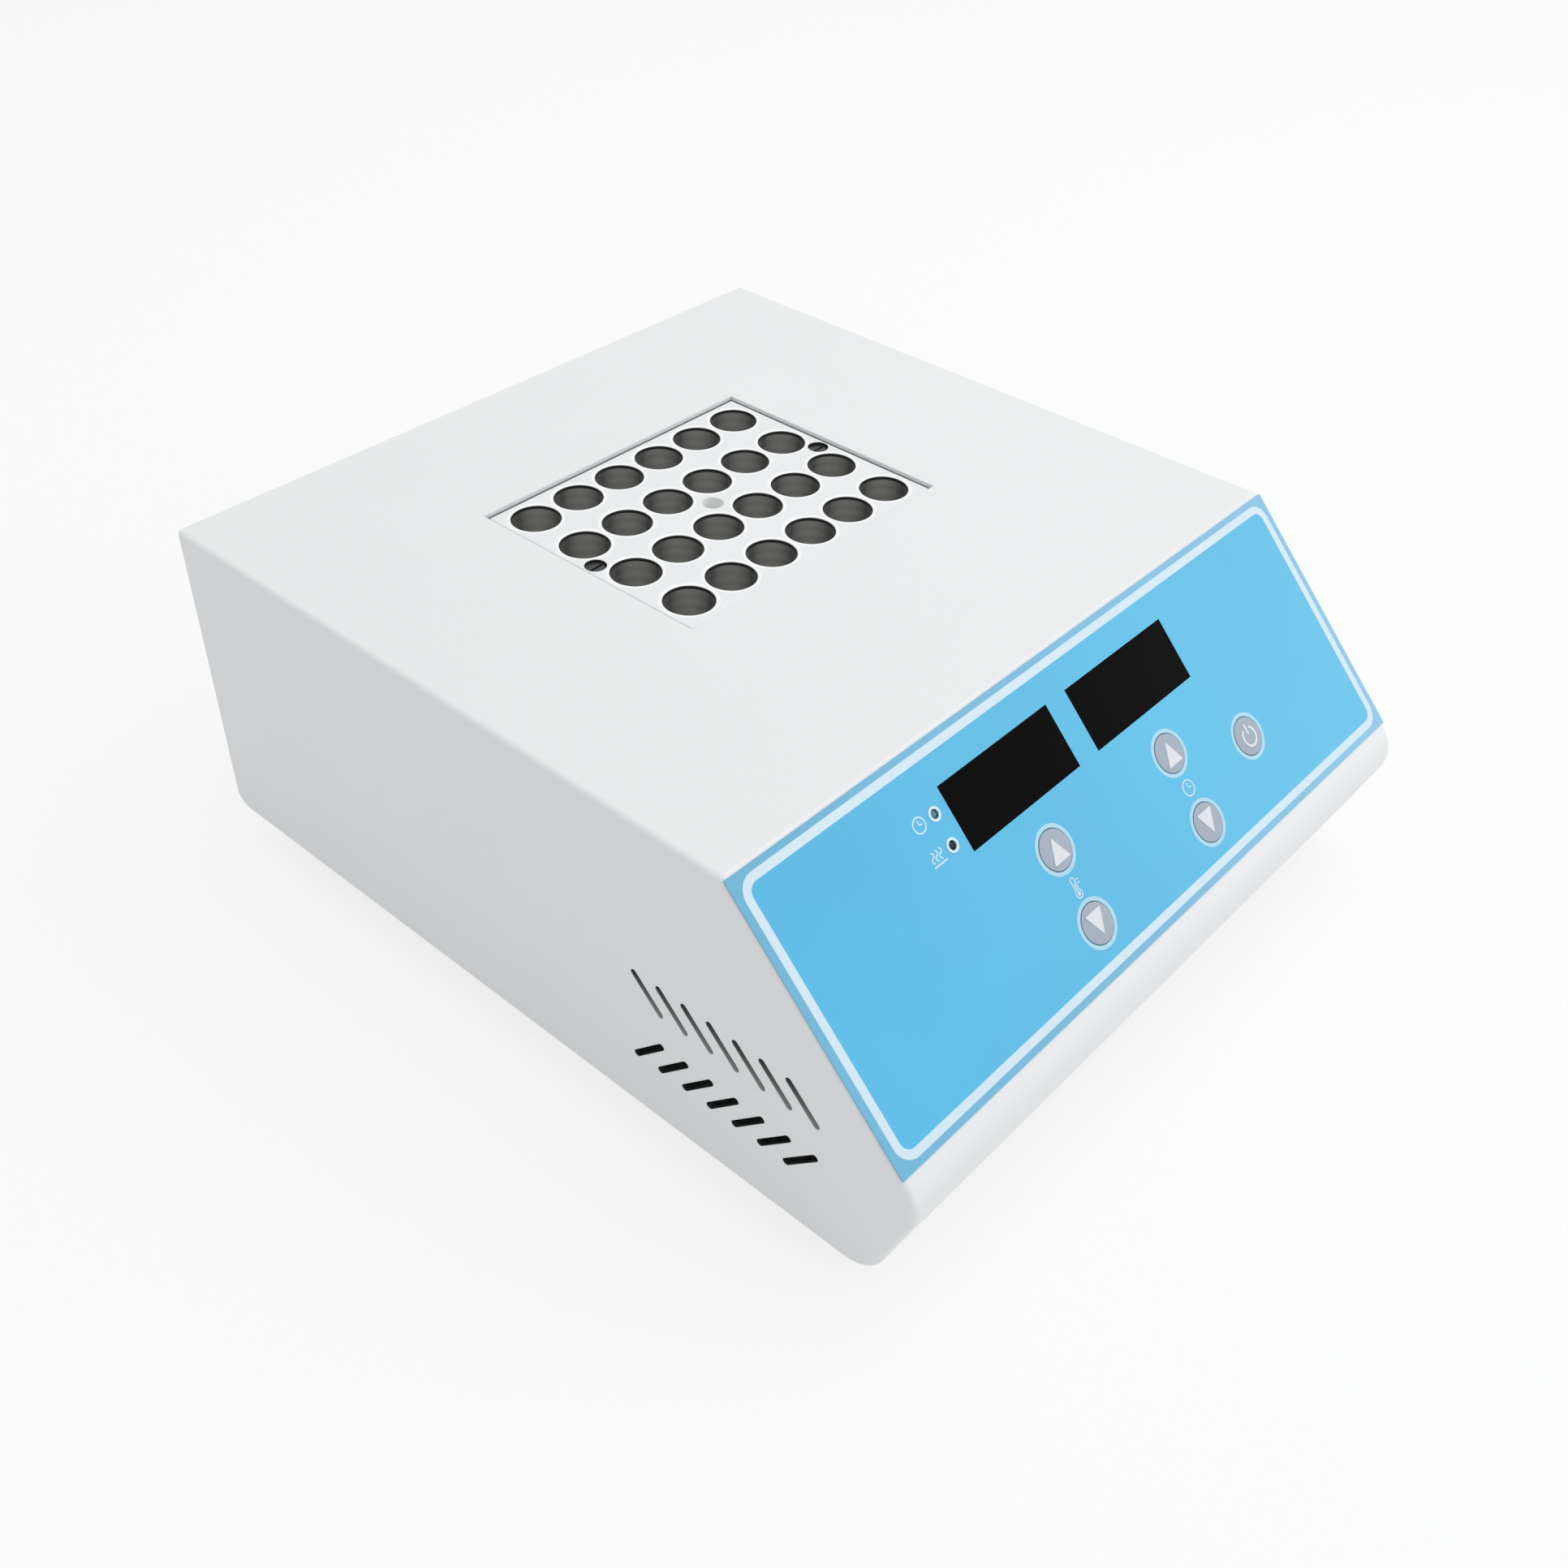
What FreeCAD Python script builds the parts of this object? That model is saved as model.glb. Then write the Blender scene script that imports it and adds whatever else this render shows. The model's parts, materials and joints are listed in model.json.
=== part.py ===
import FreeCAD
import Part
import math
import os

# Dry bath incubator: a bench heater whose aluminium block takes a grid of round tubes.
# A bent sheet cover with a sloping front sits on a sheet tray. The block drops into a lined
# well over a heated plate. Keys, displays and boards hang behind the sloping front.
# Frame: X to the right, Y to the back, Z up, origin on the bench under the middle. Millimetres.

V = FreeCAD.Vector

# Case
case_width = 220.0
case_height = 93.5
top_depth = 197.5
slope_angle = 45.7
nose_height = 30.3
nose_radius = 12.0
nose_undercut = 21.0
lip_radius = 10.8
bend_radius = 1.6
side_edge_radius = 1.7
rear_corner_radius = 5.8
sheet = 1.2
foot_height = 8.0
rear_recess = 5.0
front_lip = 10.8
flange_width = 10.0
fit_gap = 0.3
running_gap = 0.05

# Overlay on the sloping front
overlay_thickness = 0.4
overlay_bottom_margin = 1.3
overlay_side_margin = 0.1
overlay_top_margin = 0.1

# Displays and indicators, measured down the slope from its top edge
window_width = 43.0
window_height = 17.4
window_offset = 25.5
window_down = 20.6
window_gap = 0.1
indicator_across = -51.7
indicator_down = (16.6, 24.9)
indicator_radius = 1.45
indicator_hole_radius = 1.6

# Keys
key_radius = 5.2
key_hole_radius = 5.4
key_proud = 0.5
key_dome = 0.35
key_travel = 0.6
key_flange_radius = 6.3
key_flange_thickness = 1.0
key_flange_gap = 0.15
key_stem_radius = 1.7
key_places = {
    "key_temperature_up": (-24.9, 41.4),
    "key_temperature_down": (-24.9, 61.9),
    "key_time_up": (25.7, 41.4),
    "key_time_down": (25.7, 61.9),
    "key_start": (55.4, 51.7),
}

# Side vents: two rows of slanting slots that mirror each other
vent_count = 7
vent_pitch = 8.0
vent_from_back = 198.3
vent_length = 13.7
vent_width = 2.0
vent_row_down = (50.7, 70.1)
vent_slant = 45.0

# Tube block and its well
block_width = 96.0
block_depth = 76.0
block_height = 50.0
block_from_back = 91.0
block_recess = 0.7
block_edge_chamfer = 0.5
well_gap = 0.8
tube_columns = 6
tube_rows = 4
tube_pitch_across = 15.6
tube_pitch_along = 19.2
tube_radius = 6.75
tube_depth = 40.0
tube_chamfer = 0.35
tube_cone = 1.8
lift_hole_radius = 3.0
lift_hole_depth = 12.0
block_screw_across = 44.2
block_screw_counterbore_radius = 3.0
block_screw_head_radius = 2.6
block_screw_head_height = 2.2
block_screw_head_depth = 0.8
block_screw_radius = 1.45
block_screw_hole_radius = 1.6
block_screw_bite = 4.5
block_screw_slot = 0.7
liner_wall = 2.0
liner_flange = 6.0

# Heating stack under the block
plate_thickness = 6.0
plate_rim = 6.0
plate_shelf = 22.0
mat_thickness = 1.5
mat_margin = 4.0
insulation_thickness = 12.0
probe_radius = 1.9
probe_clearance = 0.1
probe_depth = 20.0
probe_tail = 12.0
probe_across = -20.0
cutout_radius = 8.0
cutout_height = 6.0
cutout_across = 20.0
cutout_ear = 12.0
cutout_tab = 7.0
cutout_tab_spread = 4.0

# Fasteners and spacers
spacer_radius = 3.5
small_screw_radius = 1.5
small_screw_head_radius = 2.75
small_screw_head_height = 1.8
nut_across_flats = 5.5
nut_height = 2.4
screw_clearance = 0.2

# Feet
foot_radius = 9.0
foot_taper = 1.0
foot_inset = 16.0
foot_recess_radius = 4.0
foot_recess_depth = 4.0

# Small parts on the boards
chip_height = 3.2
chip_from_middle = 30.0
probe_header_across = -52.0
probe_header_height = 4.0

# Boards
board_thickness = 1.6
control_board_width = 136.0
control_board_height = 58.0
control_board_down = 39.0
control_board_behind = 12.0
display_gap = 0.2
display_margin = 1.6
tact_size = 6.2
tact_height = 3.5
tact_hole_radius = 1.95
tact_hole_depth = 1.2
tact_engage = 0.3
power_board_width = 124.0
power_board_depth = 54.0
power_board_lift = 6.0
power_board_side_gap = 14.0
power_board_front_gap = 8.0
board_edge = 5.0

# Leads and headers
header_width = 22.0
header_depth = 8.0
header_height = 8.5
header_wall = 1.2
header_share = 0.8145
lead_straight = 8.0
header_from_rear = 14.0
ribbon_width = 18.0
ribbon_thickness = 0.9
mains_lead_radius = 1.2
thin_lead_radius = 0.7
lead_notch_width = 12.0
transformer_place = (0.226, 0.5)
core_width = 34.0
core_depth = 14.0
core_height = 28.0
bobbin_width = 20.0
bobbin_depth = 26.0
bobbin_height = 20.0
bobbin_corner = 3.0
relay_place = (0.528, 0.296)
relay_width = 19.0
relay_depth = 16.0
relay_height = 15.5
relay_edge = 1.0
capacitor_cans = (((0.484, 0.704), 6.5, 20.0), ((0.613, 0.704), 5.0, 12.5))
can_edge = 0.8
heatsink_place = (0.79, 0.26)
heatsink_width = 24.0
heatsink_height = 25.0
heatsink_web = 2.0
heatsink_fins = 6
heatsink_fin_depth = 9.0
triac_width = 10.0
triac_height = 15.0
triac_thickness = 4.5
triac_legs = 8.0
triac_leg_width = 0.8
triac_leg_pitch = 2.54
terminal_count = 6
terminal_pitch = 5.0
terminal_depth = 9.0
terminal_height = 11.0
terminal_from_right = 10.0
terminal_from_rear = 1.0
terminal_slot_width = 3.0
terminal_slot_height = 3.5
terminal_slot_depth = 3.0
terminal_slot_rise = 1.5
terminal_bore_radius = 1.7
terminal_bore_depth = 5.0
earth_place = (80.0, 62.0)
earth_stud_height = 10.0

# Rear inlet and switch
inlet_from_side = 48.0
inlet_rise = 38.0
inlet_flange_width = 50.0
inlet_flange_height = 36.0
inlet_flange_thickness = 2.5
inlet_body_width = 28.0
inlet_body_height = 31.0
inlet_body_depth = 24.0
inlet_corner = 3.0
inlet_screw_pitch = 40.0
socket_width = 24.2
socket_height = 16.4
socket_depth = 16.5
socket_up = 6.0
socket_corner = 4.0
pin_width = 2.0
pin_height = 4.0
pin_length = 13.5
pin_spread = 7.0
pin_ground_rise = 4.0
pin_tail = 8.0
drawer_width = 22.0
drawer_height = 8.0
drawer_depth = 20.0
drawer_down = 9.6
drawer_clearance = 0.15
drawer_lip = 0.8
fuse_radius = 2.5
fuse_length = 17.0
fuse_clearance = 0.1
switch_from_inlet = 50.0
switch_rise = 38.0
switch_width = 15.0
switch_height = 21.0
switch_bezel_thickness = 2.0
switch_rim = 1.5
switch_body_depth = 14.0
switch_tab = 8.0
switch_tab_rise = 5.0
rocker_clearance = 0.3
rocker_throw = 9.0
rocker_pin_radius = 0.9
rocker_pin_reach = 1.2

# Slots in the tray
rear_vent_count = 9
rear_vent_pitch = 8.0
rear_vent_length = 34.0
rear_vent_width = 2.5
rear_vent_from_side = 58.0
rear_vent_rise = 42.0
floor_vent_count = 9
floor_vent_pitch = 8.0
floor_vent_length = 22.0
floor_vent_width = 3.0

# Places worked out from the sizes above
slope = math.radians(slope_angle)
z_floor = foot_height
z_top = foot_height + case_height
nose_run = ((case_height - nose_height) * math.cos(slope) - nose_radius) / math.sin(slope)
case_depth = top_depth + nose_run + nose_radius
y_back = case_depth / 2
y_slope = y_back - top_depth
y_nose = y_slope - nose_run
z_nose = z_floor + nose_height
lean = math.radians(90 + nose_undercut)
z_lip = z_floor + lip_radius
y_lip = y_nose - ((z_nose - z_lip) * math.cos(lean) + nose_radius - lip_radius) / math.sin(lean)
half_width = case_width / 2
inner_half = half_width - sheet
tray_half = inner_half - fit_gap
tray_front = y_lip + front_lip + fit_gap
y_rear_wall = y_back - rear_recess
inlet_up = z_floor + inlet_rise
header_across = power_board_side_gap - half_width + header_share * power_board_width
inlet_across = half_width - inlet_from_side
switch_across = inlet_across - switch_from_inlet
rear_vent_across = rear_vent_from_side - half_width
switch_up = z_floor + switch_rise
y_block = y_back - block_from_back
z_block_top = z_top - block_recess
z_block = z_block_top - block_height
z_plate = z_block - plate_thickness
z_mat = z_plate - mat_thickness
z_insulation = z_mat - insulation_thickness
z_pan = z_insulation - sheet
z_tray_top = z_floor + sheet
plate_half_x = block_width / 2 + plate_rim
plate_half_y = block_depth / 2 + plate_rim
opening_half_x = block_width / 2 + well_gap
opening_half_y = block_depth / 2 + well_gap
panel = FreeCAD.Placement(V(0, y_slope, z_top), FreeCAD.Rotation(V(1, 0, 0), slope_angle))
board_top = -control_board_behind
board_back = board_top - board_thickness
flat_slope = (z_top - z_nose) * math.sin(slope) + nose_run * math.cos(slope)


def box(x0, x1, y0, y1, z0, z1):
    """A block between two corners."""
    return Part.makeBox(x1 - x0, y1 - y0, z1 - z0, V(x0, y0, z0))


def rod(radius, place, direction, length):
    """A cylinder from a point along a direction."""
    return Part.makeCylinder(radius, length, V(*place), V(*direction))


def join(shapes):
    """One solid out of pieces that share faces or volume."""
    body = shapes[0]
    for other in shapes[1:]:
        body = body.fuse(other)
    return body.removeSplitter()


def less(body, cutters):
    """The body with the cutters taken out of it."""
    return body.cut(Part.makeCompound(cutters)).removeSplitter()


def on_panel(shape):
    """Moves a shape from the panel's own frame, with Z out of the slope, to the slope."""
    shape.Placement = panel.multiply(shape.Placement)
    return shape


def rounded_plate(width, height, thickness, radius):
    """A plate centred on the origin, its corners rounded, from Z 0 up."""
    plate = box(-width / 2, width / 2, -height / 2, height / 2, 0, thickness)
    upright = [e for e in plate.Edges if abs(e.tangentAt(e.FirstParameter).z) > 0.99]
    return plate.makeFillet(radius, upright)


def hexagon(across_flats, height, place):
    """A hexagonal bar standing on a point."""
    reach = across_flats / math.sqrt(3)
    corners = [V(reach * math.cos(math.radians(60 * i)), reach * math.sin(math.radians(60 * i)), 0)
               for i in range(7)]
    bar = Part.Face(Part.makePolygon(corners)).extrude(V(0, 0, height))
    bar.translate(V(*place))
    return bar


def side_face(inset, x):
    """The case's side outline, moved inwards by inset, as a face at x."""
    def at(y, z):
        return V(x, y, z)

    def on_nose(angle):
        reach = nose_radius - inset
        return at(y_nose - reach * math.sin(angle), z_nose + reach * math.cos(angle))

    def on_lip(angle):
        reach = lip_radius - inset
        return at(y_lip - reach * math.sin(angle), z_lip + reach * math.cos(angle))

    bend = max(bend_radius - inset, 0.4)
    run = bend * math.tan(slope / 2)
    corner_y = y_slope + inset * math.tan(slope / 2)
    corner_z = z_top - inset
    bend_mid = bend / math.cos(slope / 2) - bend
    rear = rear_corner_radius
    on_top = at(corner_y + run, corner_z)
    on_slope = at(corner_y - run * math.cos(slope), corner_z - run * math.sin(slope))
    middle = at(corner_y + bend_mid * math.sin(slope / 2), corner_z - bend_mid * math.cos(slope / 2))
    low_start = at(y_back - rear, z_floor + inset)
    low_end = at(y_back, z_floor + inset + rear)
    low_mid = at(y_back - rear + rear * math.sin(math.pi / 4),
                 z_floor + inset + rear - rear * math.cos(math.pi / 4))
    top_back = at(y_back, corner_z)
    edges = [
        Part.LineSegment(top_back, on_top),
        Part.Arc(on_top, middle, on_slope),
        Part.LineSegment(on_slope, on_nose(slope)),
        Part.Arc(on_nose(slope), on_nose((slope + lean) / 2), on_nose(lean)),
        Part.LineSegment(on_nose(lean), on_lip(lean)),
        Part.Arc(on_lip(lean), on_lip((lean + math.pi) / 2), on_lip(math.pi)),
        Part.LineSegment(on_lip(math.pi), low_start),
        Part.Arc(low_start, low_mid, low_end),
        Part.LineSegment(low_end, top_back),
    ]
    return Part.Face(Part.Wire([e.toShape() for e in edges]))


def case_solid(inset, half):
    """The case as a full solid, its long side edges rounded."""
    body = side_face(inset, -half).extrude(V(2 * half, 0, 0))
    long_edges = []
    for edge in body.Edges:
        box_ = edge.BoundBox
        on_side = box_.XLength < 1e-6 and abs(abs(box_.XMin) - half) < 1e-6
        at_rear = box_.YMin > y_back - rear_corner_radius - 1e-6
        if on_side and not at_rear and box_.ZMax > z_floor + inset + 1e-6:
            long_edges.append(edge)
    return body.makeFillet(max(side_edge_radius - inset, 0.5), long_edges)


def slot(length, width, thickness):
    """A slot with round ends, along X, centred on the origin, from Z 0 up."""
    straight = length - width
    body = box(-straight / 2, straight / 2, -width / 2, width / 2, 0, thickness)
    ends = [rod(width / 2, (x, 0, 0), (0, 0, 1), thickness) for x in (-straight / 2, straight / 2)]
    return join([body] + ends)


def side_vents():
    """Cutters for the slanting slots through both side walls."""
    cutters = []
    reach = 3 * sheet
    for row, down in enumerate(vent_row_down):
        tilt = vent_slant if row == 0 else -vent_slant
        for i in range(vent_count):
            y = y_back - vent_from_back + (i - (vent_count - 1) / 2) * vent_pitch
            for x in (-half_width - sheet, half_width - 2 * sheet):
                cutter = slot(vent_length, vent_width, reach)
                cutter.rotate(V(0, 0, 0), V(0, 1, 0), 90)
                cutter.rotate(V(0, 0, 0), V(1, 0, 0), 90 + tilt)
                cutter.translate(V(x, y, z_top - down))
                cutters.append(cutter)
    return cutters


def panel_cutters(depth, height):
    """Cutters for the windows, indicators and keys, in the panel's frame."""
    cutters = []
    for side in (-1, 1):
        cutters.append(box(side * window_offset - window_width / 2, side * window_offset + window_width / 2,
                           -window_down - window_height / 2, -window_down + window_height / 2,
                           -depth, height))
    for down in indicator_down:
        cutters.append(rod(indicator_hole_radius, (indicator_across, -down, -depth), (0, 0, 1),
                           depth + height))
    for across, down in key_places.values():
        cutters.append(rod(key_hole_radius, (across, -down, -depth), (0, 0, 1), depth + height))
    return [on_panel(c) for c in cutters]


def cover_screw_places():
    """The places along the side flanges where the tray is screwed on."""
    x = inner_half - flange_width / 2
    front = tray_front + 14
    rear = y_rear_wall - 20
    return [(s * x, y) for s in (-1, 1) for y in (front, (front + rear) / 2, rear)]


def case_cover():
    """The bent sheet cover: top, slope, nose and sides in one, open below and at the rear."""
    outer = case_solid(0, half_width)
    inner = case_solid(sheet, inner_half)
    low = box(-inner_half, inner_half, y_lip + front_lip, y_back + 1, z_floor - 1, z_floor + 2 * sheet)
    rear = box(-inner_half, inner_half, y_back - rear_corner_radius - 1, y_back + 1,
               z_floor - 1, z_top - sheet)
    opening = box(-opening_half_x, opening_half_x, y_block - opening_half_y, y_block + opening_half_y,
                  z_top - 2 * sheet, z_top + 1)
    shell = less(outer, [inner, low, rear, opening] + side_vents() + panel_cutters(2 * sheet, 2))
    flanges = []
    for s in (-1, 1):
        x0, x1 = sorted((s * inner_half, s * (inner_half - flange_width)))
        flanges.append(box(x0, x1, tray_front + 4, y_rear_wall - 10, z_tray_top, z_tray_top + sheet))
    body = join([shell] + flanges)
    holes = [rod(small_screw_radius, (x, y, z_floor), (0, 0, 1), 3 * sheet) for x, y in cover_screw_places()]
    return less(body, holes)


def foot_places():
    """The four feet, set in from the tray's corners."""
    x = half_width - foot_inset - foot_radius
    return [(sx * x, y) for sx in (-1, 1) for y in (tray_front + foot_inset, y_rear_wall - foot_inset)]


def pan_spacer_places():
    """The four spacers that carry the heating stack."""
    x = plate_half_x - 10
    y = plate_half_y - 10
    return [(sx * x, y_block + sy * y) for sx in (-1, 1) for sy in (-1, 1)]


def power_board_corner():
    """The front left corner of the power board."""
    return power_board_side_gap - half_width, tray_front + power_board_front_gap


def power_spacer_places():
    """The four spacers under the power board."""
    x0, y0 = power_board_corner()
    return [(x, y) for x in (x0 + board_edge, x0 + power_board_width - board_edge)
            for y in (y0 + board_edge, y0 + power_board_depth - board_edge)]


def base_tray():
    """The lower tray: floor, bent rear corner and rear wall, with vents and mounting holes."""
    bend = rear_recess
    y_bend = y_rear_wall - bend
    top = z_top - sheet - fit_gap

    def at(y, z):
        return V(-tray_half, y, z)

    def on_bend(radius, angle):
        return at(y_bend + radius * math.sin(angle), z_floor + bend - radius * math.cos(angle))

    inner_bend = bend - sheet
    eighth = math.pi / 4
    edges = [
        Part.LineSegment(at(tray_front, z_floor), at(y_bend, z_floor)),
        Part.Arc(at(y_bend, z_floor), on_bend(bend, eighth), at(y_rear_wall, z_floor + bend)),
        Part.LineSegment(at(y_rear_wall, z_floor + bend), at(y_rear_wall, top)),
        Part.LineSegment(at(y_rear_wall, top), at(y_rear_wall - sheet, top)),
        Part.LineSegment(at(y_rear_wall - sheet, top), at(y_rear_wall - sheet, z_floor + bend)),
        Part.Arc(at(y_rear_wall - sheet, z_floor + bend), on_bend(inner_bend, eighth),
                 at(y_bend, z_tray_top)),
        Part.LineSegment(at(y_bend, z_tray_top), at(tray_front, z_tray_top)),
        Part.LineSegment(at(tray_front, z_tray_top), at(tray_front, z_floor)),
    ]
    face = Part.Face(Part.Wire([e.toShape() for e in edges]))
    tray = face.extrude(V(2 * tray_half, 0, 0))
    tongue_half = tray_half - 3 * flange_width
    tongue = box(-tongue_half, tongue_half, tray_front - front_lip, tray_front + 5,
                 z_tray_top, z_tray_top + sheet)
    tray = join([tray, tongue])
    holes = []
    small = [p for p in foot_places() + pan_spacer_places() + power_spacer_places()]
    for x, y in small + cover_screw_places():
        holes.append(rod(small_screw_radius, (x, y, z_floor - 1), (0, 0, 1), sheet + 2))
    wall = (y_rear_wall - 2 * sheet, y_rear_wall + sheet)
    holes.append(box(inlet_across - inlet_body_width / 2, inlet_across + inlet_body_width / 2, *wall,
                     inlet_up - inlet_body_height / 2, inlet_up + inlet_body_height / 2))
    for s in (-1, 1):
        holes.append(rod(small_screw_radius, (inlet_across + s * inlet_screw_pitch / 2, wall[0], inlet_up),
                         (0, 1, 0), 3 * sheet))
    inside_x = switch_width / 2 - switch_rim / 2
    inside_z = switch_height / 2 - switch_rim / 2
    holes.append(box(switch_across - inside_x, switch_across + inside_x, *wall,
                     switch_up - inside_z, switch_up + inside_z))
    return less(tray, holes + rear_vents() + floor_vents())


def rear_vents():
    """Cutters for a row of upright slots in the rear wall."""
    cutters = []
    for i in range(rear_vent_count):
        x = rear_vent_across + rear_vent_pitch * (i - (rear_vent_count - 1) / 2)
        cutter = slot(rear_vent_length, rear_vent_width, 3 * sheet)
        cutter.rotate(V(0, 0, 0), V(0, 1, 0), 90)
        cutter.rotate(V(0, 0, 0), V(0, 0, 1), 90)
        cutter.translate(V(x, y_rear_wall - 2 * sheet, z_floor + rear_vent_rise))
        cutters.append(cutter)
    return cutters


def floor_vents():
    """Cutters for two rows of slots in the tray's floor, under the heater and the power board."""
    cutters = []
    board_left, board_front = power_board_corner()
    board_middle = board_front + power_board_depth / 2
    for row_x, row_y in ((board_left + power_board_width / 2, board_middle), (0, y_block)):
        for i in range(floor_vent_count):
            x = row_x + floor_vent_pitch * (i - (floor_vent_count - 1) / 2)
            cutter = slot(floor_vent_length, floor_vent_width, 3 * sheet)
            cutter.rotate(V(0, 0, 0), V(0, 0, 1), 90)
            cutter.translate(V(x, row_y, z_floor - sheet))
            cutters.append(cutter)
    return cutters


def front_overlay():
    """The thin printed sheet on the slope, from just under the top bend to just above the nose."""
    half = half_width - overlay_side_margin - side_edge_radius * 0.2
    start = bend_radius * math.tan(slope / 2) + overlay_top_margin
    end = flat_slope - overlay_bottom_margin
    film = on_panel(box(-half, half, -end, -start, 0, overlay_thickness))
    return less(film, panel_cutters(2 * sheet, 2))


def display_window(side):
    """A clear window pane that fills its cut-out, flush with the overlay."""
    across = side * window_offset
    half_x = window_width / 2 - window_gap
    half_y = window_height / 2 - window_gap
    return on_panel(box(across - half_x, across + half_x, -window_down - half_y, -window_down + half_y,
                        -sheet, overlay_thickness))


def display_module(side):
    """A four-digit display on the control board, behind its window."""
    across = side * window_offset
    half_x = window_width / 2 - display_margin
    half_y = window_height / 2 - display_margin / 2
    top = -sheet - display_gap
    body = box(across - half_x, across + half_x, -window_down - half_y, -window_down + half_y,
               board_top, top)
    pins = [box(across + i * 5.08 - 0.25, across + i * 5.08 + 0.25, -window_down + s * 6 - 0.25,
                -window_down + s * 6 + 0.25, board_back - 1.5, board_top)
            for i in range(-2, 3) for s in (-1, 1)]
    return on_panel(join([body] + pins))


def display_pin_holes():
    """Cutters for the display pins through the control board, in the panel's frame."""
    cutters = []
    for side in (-1, 1):
        for i in range(-2, 3):
            for s in (-1, 1):
                x = side * window_offset + i * 5.08
                y = -window_down + s * 6
                cutters.append(box(x - 0.3, x + 0.3, y - 0.3, y + 0.3, board_back - 1, board_top + 1))
    return cutters


def key_cap(across, down):
    """A round key with a low dome, a retaining flange behind the sheet and a stem for its switch."""
    crown = overlay_thickness + key_proud
    flange_top = -sheet - key_flange_gap
    flange_low = flange_top - key_flange_thickness
    stem_end = board_top + tact_height - tact_engage
    edge = crown - key_dome
    points = [
        V(0, 0, stem_end), V(key_stem_radius, 0, stem_end), V(key_stem_radius, 0, flange_low),
        V(key_flange_radius, 0, flange_low), V(key_flange_radius, 0, flange_top),
        V(key_radius, 0, flange_top), V(key_radius, 0, edge),
    ]
    sides = [Part.LineSegment(a, b) for a, b in zip(points, points[1:])]
    dome_radius = (key_radius ** 2 + key_dome ** 2) / (2 * key_dome)
    half_way = math.asin(key_radius / dome_radius) / 2
    middle = V(dome_radius * math.sin(half_way), 0, crown - dome_radius * (1 - math.cos(half_way)))
    dome = Part.Arc(points[-1], middle, V(0, 0, crown))
    axis = Part.LineSegment(V(0, 0, crown), points[0])
    face = Part.Face(Part.Wire([e.toShape() for e in sides + [dome, axis]]))
    cap = face.revolve(V(0, 0, 0), V(0, 0, 1), 360)
    cap.translate(V(across, -down, 0))
    return on_panel(cap)


def key_switches():
    """The five tact switches on the control board, each with a well for its key's stem."""
    switches = []
    half = tact_size / 2
    for across, down in key_places.values():
        top = board_top + tact_height
        body = box(across - half, across + half, -down - half, -down + half, board_top, top)
        hole = rod(tact_hole_radius, (across, -down, top - tact_hole_depth), (0, 0, 1),
                   tact_hole_depth + 1)
        switches.append(on_panel(less(body, [hole])))
    return Part.makeCompound(switches)


def indicator(down):
    """A round lamp on a spacer sleeve, its dome level with the overlay."""
    tip = overlay_thickness
    shoulder = tip - indicator_radius
    sleeve = rod(2.2, (0, 0, board_top), (0, 0, 1), control_board_behind - 5)
    stem = rod(indicator_radius, (0, 0, -5), (0, 0, 1), 5 + shoulder)
    dome = Part.makeSphere(indicator_radius, V(0, 0, shoulder))
    lamp = join([sleeve, stem, dome])
    lamp.translate(V(indicator_across, -down, 0))
    return on_panel(lamp)


def control_spacer_places():
    """The four spacers between the slope and the control board, in the panel's frame."""
    x = control_board_width / 2 - board_edge
    y = control_board_height / 2 - board_edge
    return [(sx * x, -control_board_down + sy * y) for sx in (-1, 1) for sy in (-1, 1)]


def control_board():
    """The circuit board that hangs behind the slope."""
    half_x = control_board_width / 2
    half_y = control_board_height / 2
    board = box(-half_x, half_x, -control_board_down - half_y, -control_board_down + half_y,
                board_back, board_top)
    holes = [rod(small_screw_radius, (x, y, board_back - 1), (0, 0, 1), board_thickness + 2)
             for x, y in control_spacer_places()]
    return on_panel(less(board, holes + display_pin_holes()))


def control_spacers():
    """Threaded pillars welded behind the slope."""
    length = control_board_behind - sheet
    pillars = []
    for x, y in control_spacer_places():
        pillar = rod(spacer_radius, (x, y, board_top), (0, 0, 1), length)
        bore = rod(small_screw_radius, (x, y, board_top - 1), (0, 0, 1), 7)
        pillars.append(on_panel(less(pillar, [bore])))
    return Part.makeCompound(pillars)


def control_screws():
    """Pan head screws that hold the control board to its pillars."""
    screws = []
    for x, y in control_spacer_places():
        shank = rod(small_screw_radius, (x, y, board_back), (0, 0, 1), board_thickness + 5)
        head = rod(small_screw_head_radius, (x, y, board_back - small_screw_head_height), (0, 0, 1),
                   small_screw_head_height)
        screws.append(on_panel(join([shank, head])))
    return Part.makeCompound(screws)


def control_chips():
    """The controller chip and the probe's small header on the back of the control board."""
    down = control_board_down
    low = board_back - chip_height
    chip = box(-chip_from_middle - 9, -chip_from_middle + 9, -down - 6, -down + 6, low, board_back)
    rim = [e for e in chip.Edges if e.BoundBox.ZLength < 1e-6 and e.BoundBox.ZMin < low + 1e-6]
    chip = chip.makeChamfer(0.6, rim)
    x = probe_header_across
    header = box(x - 4, x + 4, -down - 3, -down + 3, board_back - probe_header_height, board_back)
    return Part.makeCompound([on_panel(chip), on_panel(header)])


def header():
    """A shrouded ribbon header that stands on Z 0, open upwards."""
    x = header_width / 2
    y = header_depth / 2
    wall = header_wall
    body = box(-x, x, -y, y, 0, header_height)
    return less(body, [box(-x + wall, x - wall, -y + wall, y - wall, 2, header_height + 1)])


def power_header_place():
    """The middle of the ribbon header on the power board."""
    x0, y0 = power_board_corner()
    return header_across, y0 + power_board_depth - header_from_rear - header_depth / 2, power_board_top()


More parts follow.
